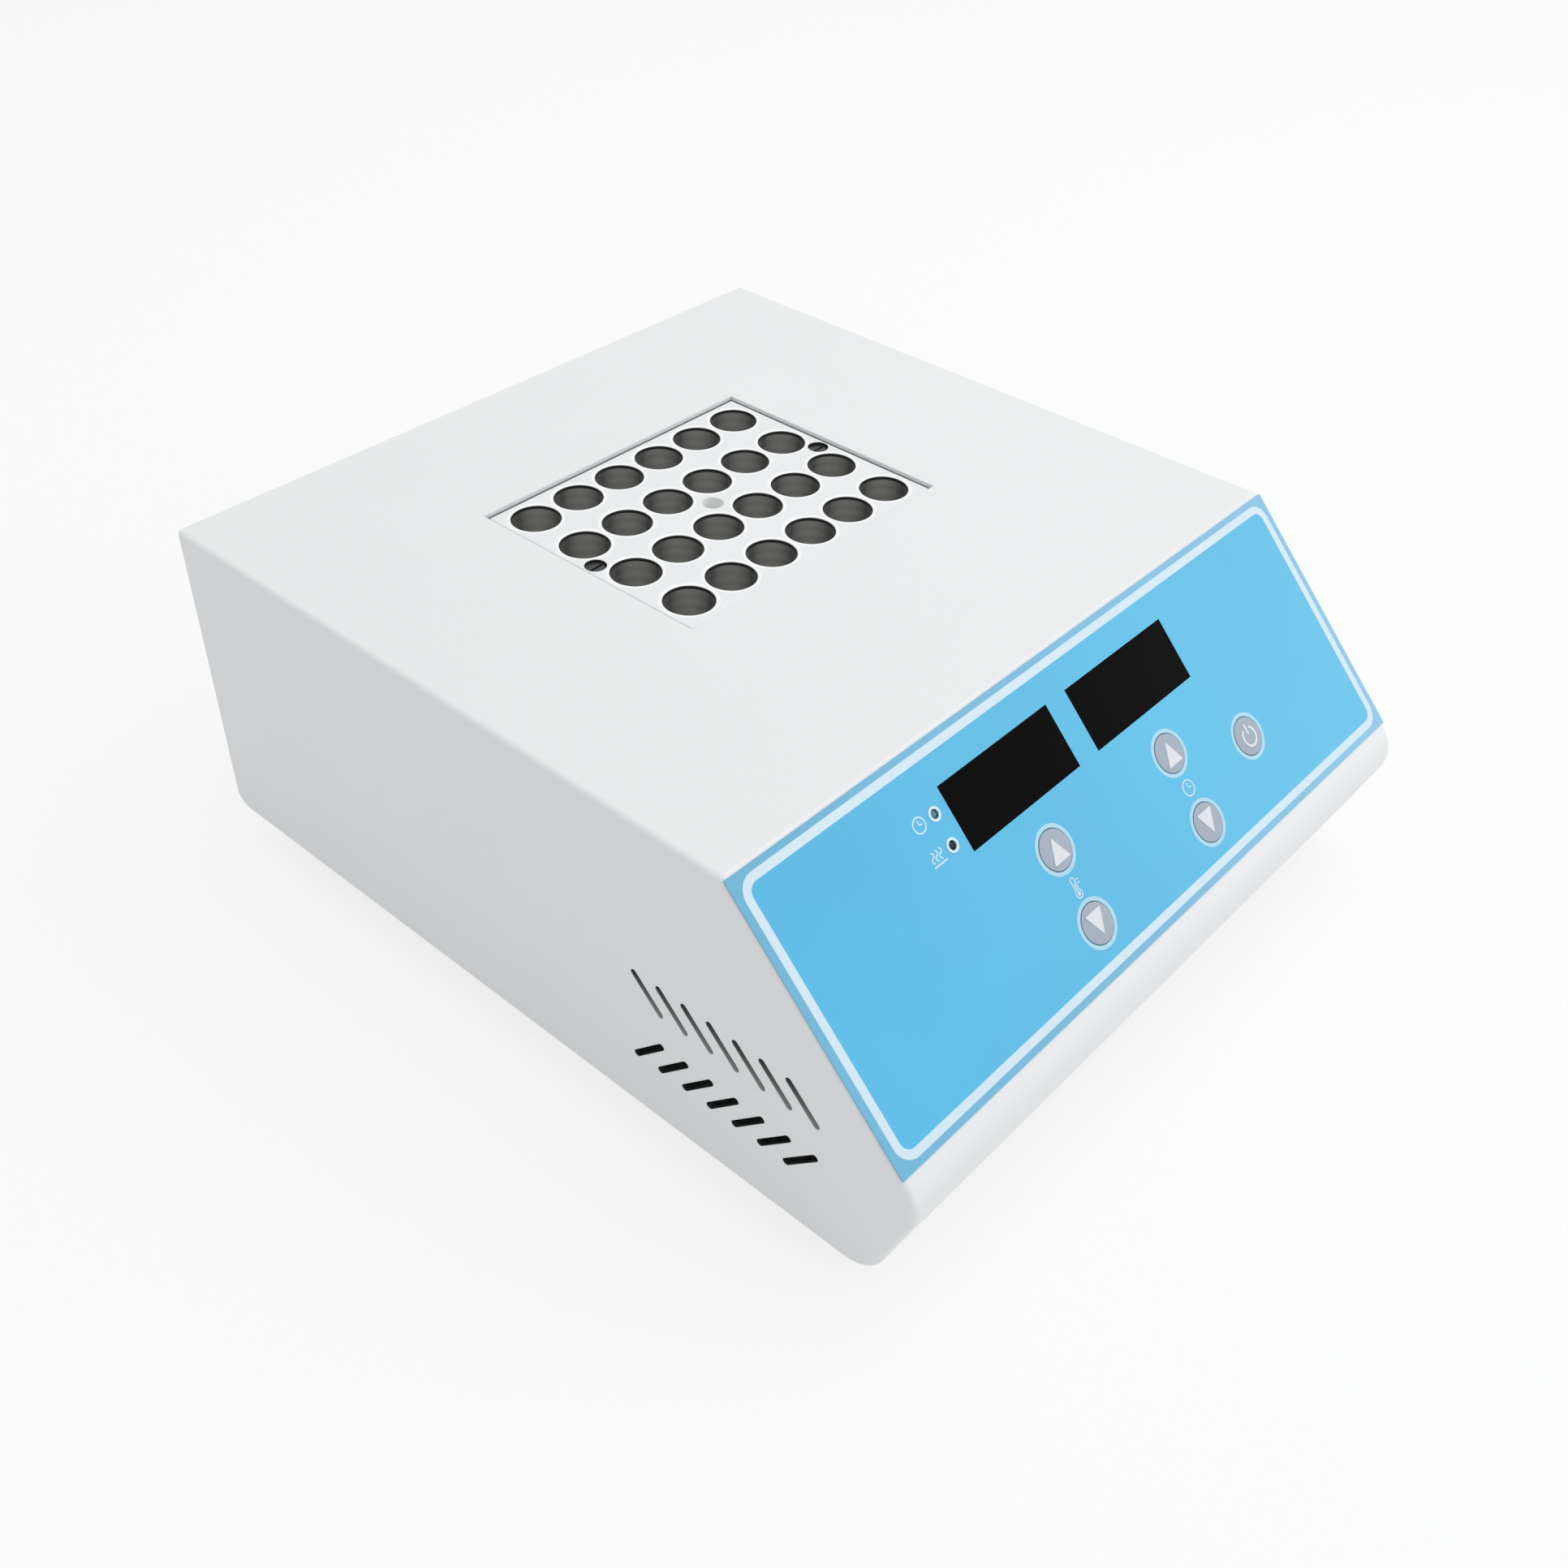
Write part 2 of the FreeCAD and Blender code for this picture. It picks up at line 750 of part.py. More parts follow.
def ribbon_headers():
    """The two headers that the ribbon cable joins, one on each board."""
    lower = header()
    lower.translate(V(*power_header_place()))
    upper = header()
    upper.rotate(V(0, 0, 0), V(1, 0, 0), 180)
    upper.translate(V(header_across, -control_board_down, board_back))
    return Part.makeCompound([on_panel(upper), lower])


def panel_point(across, down, out):
    """A point given in the panel's frame, in the part's frame."""
    return panel.multVec(V(across, -down, out))


def rounded_route(points):
    """Straight runs through the points, joined by tangent arcs that use most of the shorter run."""
    stops = [V(*p) for p in points]
    edges = []
    at = stops[0]
    for a, b, c in zip(stops, stops[1:], stops[2:]):
        back = a - b
        onward = c - b
        reach = 0.45 * min(back.Length, onward.Length)
        half = back.getAngle(onward) / 2
        back.normalize()
        onward.normalize()
        middle = (back + onward).normalize() * (reach / math.cos(half) - reach * math.tan(half))
        edges.append(Part.makeLine(at, b + back * reach))
        edges.append(Part.Arc(b + back * reach, b + middle, b + onward * reach).toShape())
        at = b + onward * reach
    edges.append(Part.makeLine(at, stops[-1]))
    return Part.Wire(edges), stops[1] - stops[0]


def tube_along(points, radius):
    """A round lead through the points."""
    route, run = rounded_route(points)
    ring = Part.Wire([Part.makeCircle(radius, V(*points[0]), run)])
    lead = route.makePipeShell([ring], True, False)
    want = math.pi * radius ** 2 * route.Length
    if abs(lead.Volume / want - 1) > 0.02:
        raise ValueError("a lead's volume is off")
    return lead


def ribbon_cable():
    """The flat cable from the control board down to the power board."""
    x, y, z = power_header_place()
    inside = header_height - 2.5
    start = panel_point(header_across, control_board_down, board_back - 2.5)
    mouth = panel_point(header_across, control_board_down, board_back - header_height)
    pull = panel_point(header_across, control_board_down, board_back - header_height - 12)
    low_mouth = V(x, y, z + header_height)
    half = ribbon_thickness / 2
    inward = (mouth - start).normalize()
    across = V(0, -inward.z, inward.y) * half

    def bend(shift_a, shift_b):
        curve = Part.BezierCurve()
        above = low_mouth + V(0, 0, 20)
        curve.setPoles([mouth + shift_a, pull + shift_a, above + shift_b, low_mouth + shift_b])
        return curve.toShape()

    rise = V(0, half, 0)
    foot = V(0, 0, -inside)
    edges = [
        Part.makeLine(start + across, mouth + across),
        bend(across, rise),
        Part.makeLine(low_mouth + rise, low_mouth + rise + foot),
        Part.makeLine(low_mouth + rise + foot, low_mouth - rise + foot),
        Part.makeLine(low_mouth - rise + foot, low_mouth - rise),
        bend(across * -1, rise * -1),
        Part.makeLine(mouth - across, start - across),
        Part.makeLine(start - across, start + across),
    ]
    strip = Part.Face(Part.Wire(Part.__sortEdges__(edges))).extrude(V(ribbon_width, 0, 0))
    strip.translate(V(-ribbon_width / 2, 0, 0))
    return strip


def terminal_corner():
    """The terminal block's left end and rear face."""
    x0, y0 = power_board_corner()
    left = x0 + power_board_width - terminal_from_right - terminal_count * terminal_pitch
    return left, y0 + power_board_depth - terminal_from_rear


def terminal_entry(way):
    """The point inside one way of the terminal block where a lead ends."""
    left, rear = terminal_corner()
    rise = terminal_slot_rise + terminal_slot_height / 2
    inside = rear - terminal_slot_depth + 0.5
    return left + terminal_pitch * (way + 0.5), inside, power_board_top() + rise


def lead_to_terminal(points, way, radius):
    """A lead through the points that runs straight into one way of the terminal block."""
    x, y, z = terminal_entry(way)
    return tube_along(list(points) + [(x, y + lead_straight, z + 0.5), (x, y, z)], radius)


def mains_leads():
    """The leads from the inlet to the switch, the earth stud and the power board."""
    r = mains_lead_radius
    tail = y_rear_wall - inlet_body_depth - pin_tail
    pin_z = inlet_up + socket_up - 2
    tab = y_rear_wall - switch_body_depth - switch_tab
    board = power_board_top()
    beside = plate_half_x + 18
    live = inlet_across + pin_spread
    neutral = inlet_across - pin_spread
    to_switch = [(live, tail, pin_z), (live - 3, tail - 6, pin_z + 8), (inlet_across - 20, tail, pin_z + 14),
                 (switch_across + 8, tail + 3, pin_z + 8), (switch_across, tab, switch_up + switch_tab_rise)]
    from_switch = [(switch_across, tab, switch_up - switch_tab_rise),
                   (switch_across + 6, tab - 7, board + 14),
                   (beside - 22, tail - 2, board + 9), (beside, y_block + 20, board + 6),
                   (beside, y_block - 40, board + 5), (beside - 30, tray_front + 72, board + 5)]
    back = [(neutral, tail, pin_z), (neutral + 12, tail - 8, pin_z - 8),
            (beside + 4, y_block + 24, board + 12),
            (beside + 4, y_block - 42, board + 9), (beside - 26, tray_front + 76, board + 8)]
    earth_x, earth_y = earth_place
    earth = [(inlet_across, tail, pin_z + pin_ground_rise), (inlet_across + 16, tail - 7, pin_z),
             (earth_x + 3, earth_y + 8, z_tray_top + 14), (earth_x, earth_y, z_tray_top + earth_stud_height)]
    return Part.makeCompound([tube_along(to_switch, r), lead_to_terminal(from_switch, 4, r),
                              lead_to_terminal(back, 5, r), tube_along(earth, r)])


def earth_stud():
    """The welded earth stud on the tray, with its nut."""
    x, y = earth_place
    stud = rod(2.0, (x, y, z_tray_top), (0, 0, 1), earth_stud_height)
    return join([stud, hexagon(7.0, 3.2, (x, y, z_tray_top))])


def heater_leads():
    """The leads from the mat and from the disc cut-out to the power board."""
    r = thin_lead_radius
    mat_front = y_block - plate_half_y + sheet + mat_margin
    front = y_block - plate_half_y - plate_shelf
    middle = z_mat + mat_thickness / 2
    leads = []
    for way, x in ((0, -3.0), (1, 3.0)):
        path = [(x, mat_front, middle - 0.05), (x, mat_front - 7, middle - 0.8),
                (x - 1, front + 8, middle - 5),
                (x - 3, front - 1, middle - 14)]
        leads.append(lead_to_terminal(path, way, r))
    for way, x in ((2, 16.0), (3, 24.0)):
        top = z_block + cutout_height + cutout_tab
        path = [(x, front + 10, top), (x - 1, front + 5, top + 4), (x - 4, front - 6, top - 6),
                (x - 8, front - 4, middle - 12)]
        leads.append(lead_to_terminal(path, way, r))
    return Part.makeCompound(leads)


def probe_lead():
    """The lead from the probe's crimped tail to its header on the control board."""
    front = y_block - plate_half_y - plate_shelf - 4 - probe_tail
    middle = z_plate + plate_thickness / 2
    end = panel_point(probe_header_across, control_board_down, board_back - probe_header_height)
    near = panel_point(probe_header_across, control_board_down, board_back - probe_header_height - 7)
    path = [(probe_across, front, middle), (probe_across, front - 5, middle), tuple(near), tuple(end)]
    return tube_along(path, thin_lead_radius)


def tube_places():
    """The centres of the tube wells."""
    return [(tube_pitch_across * (i - (tube_columns - 1) / 2),
             y_block + tube_pitch_along * (j - (tube_rows - 1) / 2))
            for i in range(tube_columns) for j in range(tube_rows)]


def tube_well(x, y):
    """A cutter for one tube well: a bore with a chamfered mouth and a coned end."""
    bottom = z_block_top - tube_depth
    r = tube_radius
    rim = r + tube_chamfer
    points = [
        V(0, 0, bottom), V(r, 0, bottom + tube_cone), V(r, 0, z_block_top - tube_chamfer),
        V(rim, 0, z_block_top), V(rim, 0, z_block_top + 1), V(0, 0, z_block_top + 1), V(0, 0, bottom),
    ]
    cutter = Part.Face(Part.makePolygon(points)).revolve(V(0, 0, 0), V(0, 0, 1), 360)
    cutter.translate(V(x, y, 0))
    return cutter


def tube_block():
    """The aluminium block: a grid of tube wells, a tapped lifting hole and two screw seats."""
    half_x = block_width / 2
    half_y = block_depth / 2
    block = box(-half_x, half_x, y_block - half_y, y_block + half_y, z_block, z_block_top)
    rim = [e for e in block.Edges if e.BoundBox.ZLength < 1e-6 and e.BoundBox.ZMax > z_block_top - 1e-6]
    block = block.makeChamfer(block_edge_chamfer, rim)
    cutters = [tube_well(x, y) for x, y in tube_places()]
    cutters.append(rod(lift_hole_radius, (0, y_block, z_block_top - lift_hole_depth), (0, 0, 1),
                       lift_hole_depth + 1))
    seat = block_screw_head_depth + block_screw_head_height
    for s in (-1, 1):
        x = s * block_screw_across
        cutters.append(rod(block_screw_hole_radius, (x, y_block, z_block - 1), (0, 0, 1), block_height + 2))
        cutters.append(rod(block_screw_counterbore_radius, (x, y_block, z_block_top - seat), (0, 0, 1),
                           seat + 1))
    return less(block, cutters)


def block_screws():
    """Two long slotted screws that hold the block down on the heated plate."""
    screws = []
    head_top = z_block_top - block_screw_head_depth
    head_low = head_top - block_screw_head_height
    low = z_block - block_screw_bite
    for s in (-1, 1):
        x = s * block_screw_across
        shank = rod(block_screw_radius, (x, y_block, low), (0, 0, 1), head_low - low)
        head = rod(block_screw_head_radius, (x, y_block, head_low), (0, 0, 1), block_screw_head_height)
        groove = box(x - 3, x + 3, y_block - block_screw_slot / 2, y_block + block_screw_slot / 2,
                     head_top - 1.1, head_top + 1)
        screws.append(less(join([shank, head]), [groove]))
    return Part.makeCompound(screws)


def well_liner():
    """The heatproof frame round the block, from the heated plate up to the cover."""
    def ring(margin, z0, z1):
        return box(-opening_half_x - margin, opening_half_x + margin, y_block - opening_half_y - margin,
                   y_block + opening_half_y + margin, z0, z1)

    top = z_top - sheet
    wall = join([ring(liner_wall, z_block, top), ring(liner_flange, top - liner_wall, top)])
    return less(wall, [ring(0, z_block - 1, top + 1)])


def heater_plate():
    """The heated plate: a seat for the block, with a shelf in front for the cut-out and the probe."""
    plate = box(-plate_half_x, plate_half_x, y_block - plate_half_y - plate_shelf, y_block + plate_half_y,
                z_plate, z_block)
    middle = z_plate + plate_thickness / 2
    front = y_block - plate_half_y - plate_shelf
    cutters = [rod(probe_radius + probe_clearance, (probe_across, front - 1, middle), (0, 1, 0),
                   probe_depth + 1)]
    for s in (-1, 1):
        cutters.append(rod(block_screw_radius + fit_gap, (s * block_screw_across, y_block,
                           z_block - block_screw_bite - 0.5), (0, 0, 1), block_screw_bite + 1))
    for s in (-1, 1):
        cutters.append(rod(1.25, (cutout_across + s * cutout_ear, front + 10, z_block - 5), (0, 0, 1), 6))
    return less(plate, cutters)


def heater_mat():
    """The silicone heating mat bonded under the plate."""
    x = plate_half_x - sheet - mat_margin
    y = plate_half_y - sheet - mat_margin
    return box(-x, x, y_block - y, y_block + y, z_mat, z_plate)


def insulation_pad():
    """The ceramic fibre pad in the pan."""
    x = plate_half_x - sheet - fit_gap
    y = plate_half_y - sheet - fit_gap
    pad = box(-x, x, y_block - y, y_block + y, z_insulation, z_mat)
    reliefs = [rod(small_screw_head_radius + fit_gap, (x, y, z_insulation - 1), (0, 0, 1),
                   small_screw_head_height + fit_gap + 1) for x, y in pan_spacer_places()]
    return less(pad, reliefs)


def heater_pan():
    """The sheet pan that holds the pad and carries the heated plate on its rim."""
    outer = box(-plate_half_x, plate_half_x, y_block - plate_half_y, y_block + plate_half_y, z_pan, z_plate)
    inner = box(-plate_half_x + sheet, plate_half_x - sheet, y_block - plate_half_y + sheet,
                y_block + plate_half_y - sheet, z_insulation, z_plate + 1)
    holes = [rod(small_screw_radius, (x, y, z_pan - 1), (0, 0, 1), sheet + 2)
             for x, y in pan_spacer_places()]
    notch = box(-lead_notch_width / 2, lead_notch_width / 2, y_block - plate_half_y - 1,
                y_block - plate_half_y + 2 * sheet, z_mat - 1, z_plate + 1)
    return less(outer, [inner, notch] + holes)


def pan_spacers():
    """The hexagonal pillars between the tray and the pan."""
    pillars = []
    for x, y in pan_spacer_places():
        bar = hexagon(2 * spacer_radius, z_pan - z_tray_top, (x, y, z_tray_top))
        pillars.append(less(bar, [rod(small_screw_radius, (x, y, z_tray_top - 1), (0, 0, 1), z_pan)]))
    return Part.makeCompound(pillars)


def cross_recess(reach, depth):
    """A cutter for a cross recess, centred on the origin and depth deep both ways."""
    arms = [box(-reach, reach, -0.35, 0.35, -depth, depth), box(-0.35, 0.35, -reach, reach, -depth, depth)]
    return join(arms)


def screws_up(places, z, length):
    """Pan head screws whose heads sit under z."""
    screws = []
    for x, y in places:
        shank = rod(small_screw_radius, (x, y, z), (0, 0, 1), length)
        low = z - small_screw_head_height
        head = rod(small_screw_head_radius, (x, y, low), (0, 0, 1), small_screw_head_height)
        drive = cross_recess(small_screw_head_radius * 0.6, 0.9)
        drive.translate(V(x, y, low))
        screws.append(less(join([shank, head]), [drive]))
    return Part.makeCompound(screws)


def screws_down(places, z, length):
    """Pan head screws whose heads sit on z."""
    screws = []
    for x, y in places:
        shank = rod(small_screw_radius, (x, y, z - length), (0, 0, 1), length)
        head = rod(small_screw_head_radius, (x, y, z), (0, 0, 1), small_screw_head_height)
        screws.append(join([shank, head]))
    return Part.makeCompound(screws)


def temperature_probe():
    """The metal probe in the plate's front edge, with its crimped tail."""
    front = y_block - plate_half_y - plate_shelf
    middle = z_plate + plate_thickness / 2
    body = rod(probe_radius, (probe_across, front - 4, middle), (0, 1, 0), probe_depth + 3.5)
    sleeve = rod(probe_radius + 0.6, (probe_across, front - 4 - probe_tail, middle), (0, 1, 0), probe_tail)
    return join([body, sleeve])


def thermal_cutout():
    """The disc cut-out on the plate's shelf, with its mounting ears and two tabs."""
    front = y_block - plate_half_y - plate_shelf
    x, y = cutout_across, front + 10
    cup = rod(cutout_radius, (x, y, z_block), (0, 0, 1), cutout_height)
    ears = slot(2 * cutout_ear + 7, 7, 0.8)
    ears.translate(V(x, y, z_block))
    top = z_block + cutout_height
    tabs = [box(x + s * cutout_tab_spread - 0.4, x + s * cutout_tab_spread + 0.4, y - 3, y + 3,
                top, top + cutout_tab) for s in (-1, 1)]
    holes = [rod(1.25, (x + s * cutout_ear, y, z_block - 1), (0, 0, 1), 3) for s in (-1, 1)]
    return less(join([cup, ears] + tabs), holes)


def cutout_screws():
    """The two small screws of the disc cut-out."""
    front = y_block - plate_half_y - plate_shelf
    top = z_block + 0.8
    screws = []
    for x in (cutout_across - cutout_ear, cutout_across + cutout_ear):
        shank = rod(1.25, (x, front + 10, top - 4), (0, 0, 1), 4)
        head = rod(2.2, (x, front + 10, top), (0, 0, 1), 1.5)
        screws.append(join([shank, head]))
    return Part.makeCompound(screws)


def rubber_foot(x, y):
    """A tapered rubber foot with a recess for its screw."""
    foot = Part.makeCone(foot_radius - foot_taper, foot_radius, foot_height, V(x, y, 0), V(0, 0, 1))
    low = [e for e in foot.Edges if e.BoundBox.ZMax < 1e-6]
    foot = foot.makeFillet(0.8, low)
    return less(foot, [rod(foot_recess_radius, (x, y, -1), (0, 0, 1), foot_recess_depth + 1),
                       rod(small_screw_radius, (x, y, 0), (0, 0, 1), foot_height + 1)])


def pan_screws():
    """The screws at both ends of the pan's pillars."""
    length = sheet + 6
    upper = screws_down(pan_spacer_places(), z_insulation, length)
    lower = screws_up(pan_spacer_places(), z_floor, length)
    return Part.makeCompound(upper.Solids + lower.Solids)


def foot_screws():
    """The screws that hold the feet, from each foot's recess up through the tray and its nut."""
    length = foot_height - foot_recess_depth + sheet + nut_height + 1
    return screws_up(foot_places(), foot_recess_depth, length)


def nuts_on(places, z):
    """Hexagonal nuts standing on z."""
    nuts = []
    for x, y in places:
        nuts.append(less(hexagon(nut_across_flats, nut_height, (x, y, z)),
                         [rod(small_screw_radius, (x, y, z - 1), (0, 0, 1), nut_height + 2)]))
    return Part.makeCompound(nuts)


def power_board():
    """The power board over the tray's floor."""
    x0, y0 = power_board_corner()
    z = z_tray_top + power_board_lift
    board = box(x0, x0 + power_board_width, y0, y0 + power_board_depth, z, z + board_thickness)
    holes = [rod(small_screw_radius, (x, y, z - 1), (0, 0, 1), board_thickness + 2)
             for x, y in power_spacer_places()]
    return less(board, holes)


def power_spacers():
    """The short pillars under the power board."""
    pillars = []
    for x, y in power_spacer_places():
        pillar = rod(spacer_radius, (x, y, z_tray_top), (0, 0, 1), power_board_lift)
        pillars.append(less(pillar, [rod(small_screw_radius, (x, y, z_tray_top - 1), (0, 0, 1),
                                         power_board_lift + 2)]))
    return Part.makeCompound(pillars)


def power_board_top():
    """The level of the power board's upper face."""
    return z_tray_top + power_board_lift + board_thickness


def on_board(across, back):
    """A place on the power board, as shares of its width and depth from the front left corner."""
    x0, y0 = power_board_corner()
    return x0 + across * power_board_width, y0 + back * power_board_depth


def transformer():
    """The small mains transformer: a laminated core round a wound bobbin."""
    z = power_board_top()
    x, y = on_board(*transformer_place)
    half = core_width / 2
    core = box(x - half, x + half, y - core_depth / 2, y + core_depth / 2, z, z + core_height)
    bobbin = rounded_plate(bobbin_width, bobbin_depth, bobbin_height, bobbin_corner)
    bobbin.translate(V(x, y, z + (core_height - bobbin_height) / 2))
    return join([core, bobbin])


def relay():
    """The heater relay on the power board."""
    z = power_board_top()
    x, y = on_board(*relay_place)
    body = box(x - relay_width / 2, x + relay_width / 2, y - relay_depth / 2, y + relay_depth / 2,
               z, z + relay_height)
    upright = [e for e in body.Edges if e.BoundBox.ZLength > relay_height - 0.1]
    return body.makeFillet(relay_edge, upright)


def capacitors():
    """Two round capacitors on the power board."""
    z = power_board_top()
    cans = []
    for place, radius, height in capacitor_cans:
        can = rod(radius, (*on_board(*place), z), (0, 0, 1), height)
        rim = [e for e in can.Edges if e.BoundBox.ZMin > z + height - 1e-6]
        cans.append(can.makeFillet(can_edge, rim))
    return Part.makeCompound(cans)


def triac_heatsink():
    """The finned heatsink that stands on the power board."""
    z = power_board_top()
    x, y = on_board(*heatsink_place)
    left = x - heatsink_width / 2
    back = y + heatsink_web
    web = box(left, left + heatsink_width, y, back, z, z + heatsink_height)
    pitch = (heatsink_width - heatsink_web) / (heatsink_fins - 1)
    fins = [box(left + i * pitch, left + i * pitch + heatsink_web, back, back + heatsink_fin_depth,
                z, z + heatsink_height) for i in range(heatsink_fins)]
    return join([web] + fins)


def triac():
    """The power switch clipped to the heatsink's web."""
    z = power_board_top()
    x, y = on_board(*heatsink_place)
    half = triac_width / 2
    body = box(x - half, x + half, y - triac_thickness, y, z + triac_legs, z + triac_legs + triac_height)
    leg = triac_leg_width / 2
    middle = y - triac_thickness / 2 - leg
    legs = [box(x + i * triac_leg_pitch - leg, x + i * triac_leg_pitch + leg, middle - leg, middle + leg,
                z, z + triac_legs) for i in (-1, 0, 1)]
    return join([body] + legs)


def terminal_block():
    """The row of screw terminals along the power board's rear edge."""
    z = power_board_top()
    left, rear = terminal_corner()
    body = box(left, left + terminal_count * terminal_pitch, rear - terminal_depth, rear,
               z, z + terminal_height)
    cutters = []
    for i in range(terminal_count):
        x = left + terminal_pitch * (i + 0.5)
        cutters.append(rod(terminal_bore_radius, (x, rear - terminal_depth / 2, z + terminal_height
                           - terminal_bore_depth), (0, 0, 1), terminal_bore_depth + 1))
        low = z + terminal_slot_rise
        cutters.append(box(x - terminal_slot_width / 2, x + terminal_slot_width / 2,
                           rear - terminal_slot_depth, rear + 1, low, low + terminal_slot_height))
    return less(body, cutters)


def inlet_frame(shape):
    """Moves a shape drawn with Z out of the rear wall to the inlet's place, Y up."""
    shape.rotate(V(0, 0, 0), V(1, 0, 0), -90)
    shape.rotate(V(0, 0, 0), V(0, 1, 0), 180)
    shape.translate(V(inlet_across, y_rear_wall, inlet_up))
    return shape


def socket_outline(margin):
    """The socket's six-cornered outline, grown by margin, in the inlet's own frame."""
    x = socket_width / 2 + margin
    low = socket_up - socket_height / 2 - margin
    high = socket_up + socket_height / 2 + margin
    cut = socket_corner
    corners = [V(-x, low, 0), V(x, low, 0), V(x, high - cut, 0), V(x - cut, high, 0),
               V(-x + cut, high, 0), V(-x, high - cut, 0), V(-x, low, 0)]
    return Part.Face(Part.makePolygon(corners))


def inlet_housing():
    """The rear inlet: flange, socket for a mains lead and a chamber for the fuse drawer."""
    t = inlet_flange_thickness
    flange = rounded_plate(inlet_flange_width, inlet_flange_height, t, inlet_corner)
    body = box(-inlet_body_width / 2 + 0.2, inlet_body_width / 2 - 0.2, -inlet_body_height / 2 + 0.2,
               inlet_body_height / 2 - 0.2, -inlet_body_depth, t)
    housing = join([flange, body])
    socket = socket_outline(0).extrude(V(0, 0, socket_depth + 1))
    socket.translate(V(0, 0, t - socket_depth))
    gap = drawer_clearance
    chamber = box(-drawer_width / 2 - gap, drawer_width / 2 + gap, -drawer_down - drawer_height / 2 - gap,
                  -drawer_down + drawer_height / 2 + gap, t - drawer_depth - gap, t + 1)
    cutters = [socket, chamber]
    floor = t - socket_depth
    for x, y in pin_places():
        cutters.append(box(x - pin_width / 2, x + pin_width / 2, y - pin_height / 2, y + pin_height / 2,
                           -inlet_body_depth - 1, floor + 1))
    for s in (-1, 1):
        x = s * inlet_screw_pitch / 2
        cutters.append(rod(small_screw_radius, (x, 0, -1), (0, 0, 1), t + 2))
        cutters.append(Part.makeCone(small_screw_radius, 3.0, 1.5, V(x, 0, t - 1.5), V(0, 0, 1)))
    return inlet_frame(less(housing, cutters))


def pin_places():
    """The three contacts in the socket, in the inlet's own frame."""
    y = socket_up - 2
    return [(-pin_spread, y), (pin_spread, y), (0, y + pin_ground_rise)]


def inlet_pins():
    """The three flat contacts, from the socket through to solder tails."""
    floor = inlet_flange_thickness - socket_depth
    pins = []
    for x, y in pin_places():
        pin = box(x - pin_width / 2, x + pin_width / 2, y - pin_height / 2, y + pin_height / 2,
                  -inlet_body_depth, floor + pin_length)
        tip = [e for e in pin.Edges if e.BoundBox.ZMin > floor + pin_length - 1e-6]
        pin = pin.makeChamfer(0.5, tip)
        tail = box(x - 0.4, x + 0.4, y - pin_height / 2, y + pin_height / 2,
                   -inlet_body_depth - pin_tail, -inlet_body_depth)
        pins.append(inlet_frame(join([pin, tail])))
    return Part.makeCompound(pins)


def inlet_screws():
    """The two countersunk screws of the inlet flange."""
    t = inlet_flange_thickness
    screws = []
    for s in (-1, 1):
        x = s * inlet_screw_pitch / 2
        shank = rod(small_screw_radius, (x, 0, -6), (0, 0, 1), 6 + t - 1.5)
        head = Part.makeCone(small_screw_radius, 3.0, 1.5, V(x, 0, t - 1.5), V(0, 0, 1))
        drive = cross_recess(1.7, 0.9)
        drive.translate(V(x, 0, t))
        screws.append(inlet_frame(less(join([shank, head]), [drive])))
    return Part.makeCompound(screws)


def fuse_drawer():
    """The drawer under the socket, with a cradle for the fuse and a finger lip."""
    t = inlet_flange_thickness
    low = -drawer_down - drawer_height / 2
    high = -drawer_down + drawer_height / 2
    body = box(-drawer_width / 2, drawer_width / 2, low, high, t - drawer_depth, t)
    lip = box(-drawer_width / 2 + 1, drawer_width / 2 - 1, low + 0.6, low + 2.2, t, t + drawer_lip)
    cradle = rod(fuse_radius + fuse_clearance, (-fuse_length / 2 - fuse_clearance, -drawer_down, t - 11),
                 (1, 0, 0), fuse_length + 2 * fuse_clearance)
    mouth = box(-fuse_length / 2 - fuse_clearance, fuse_length / 2 + fuse_clearance, -drawer_down, high + 1,
                t - 11 - fuse_radius - fuse_clearance, t - 11 + fuse_radius + fuse_clearance)
    return inlet_frame(less(join([body, lip]), [cradle, mouth]))


def fuse():
    """The glass fuse, its caps a little wider than its tube."""
    x0 = -fuse_length / 2
    z = inlet_flange_thickness - 11
    caps = [rod(fuse_radius, (x, -drawer_down, z), (1, 0, 0), 5) for x in (x0, -x0 - 5)]
    tube = rod(fuse_radius - 0.3, (x0, -drawer_down, z), (1, 0, 0), fuse_length)
    return inlet_frame(join([tube] + caps))


def switch_frame(shape):
    """Moves a shape drawn with Z out of the rear wall to the switch's place, Y up."""
    shape.rotate(V(0, 0, 0), V(1, 0, 0), -90)
    shape.rotate(V(0, 0, 0), V(0, 1, 0), 180)
    shape.translate(V(switch_across, y_rear_wall, switch_up))
    return shape


def switch_housing():
    """The rocker switch's bezel and body, hollow for the rocker, with two tabs."""
    t = switch_bezel_thickness
    bezel = rounded_plate(switch_width, switch_height, t, 1.5)
    rim = switch_rim
    body = box(-switch_width / 2 + rim, switch_width / 2 - rim, -switch_height / 2 + rim,
               switch_height / 2 - rim, -switch_body_depth, t)
    hollow = box(-switch_width / 2 + 2 * rim, switch_width / 2 - 2 * rim, -switch_height / 2 + 2 * rim,
                 switch_height / 2 - 2 * rim, -6.5, t + 1)
    seat_half = switch_width / 2 - 2 * rim + rocker_pin_reach
    pin_seat = rod(rocker_pin_radius + running_gap, (-seat_half, 0, 0), (1, 0, 0), 2 * seat_half)
    tabs = [box(-2.4, 2.4, y - 0.4, y + 0.4, -switch_body_depth - switch_tab, -switch_body_depth)
            for y in (-switch_tab_rise, switch_tab_rise)]
    return switch_frame(less(join([bezel, body] + tabs), [hollow, pin_seat]))


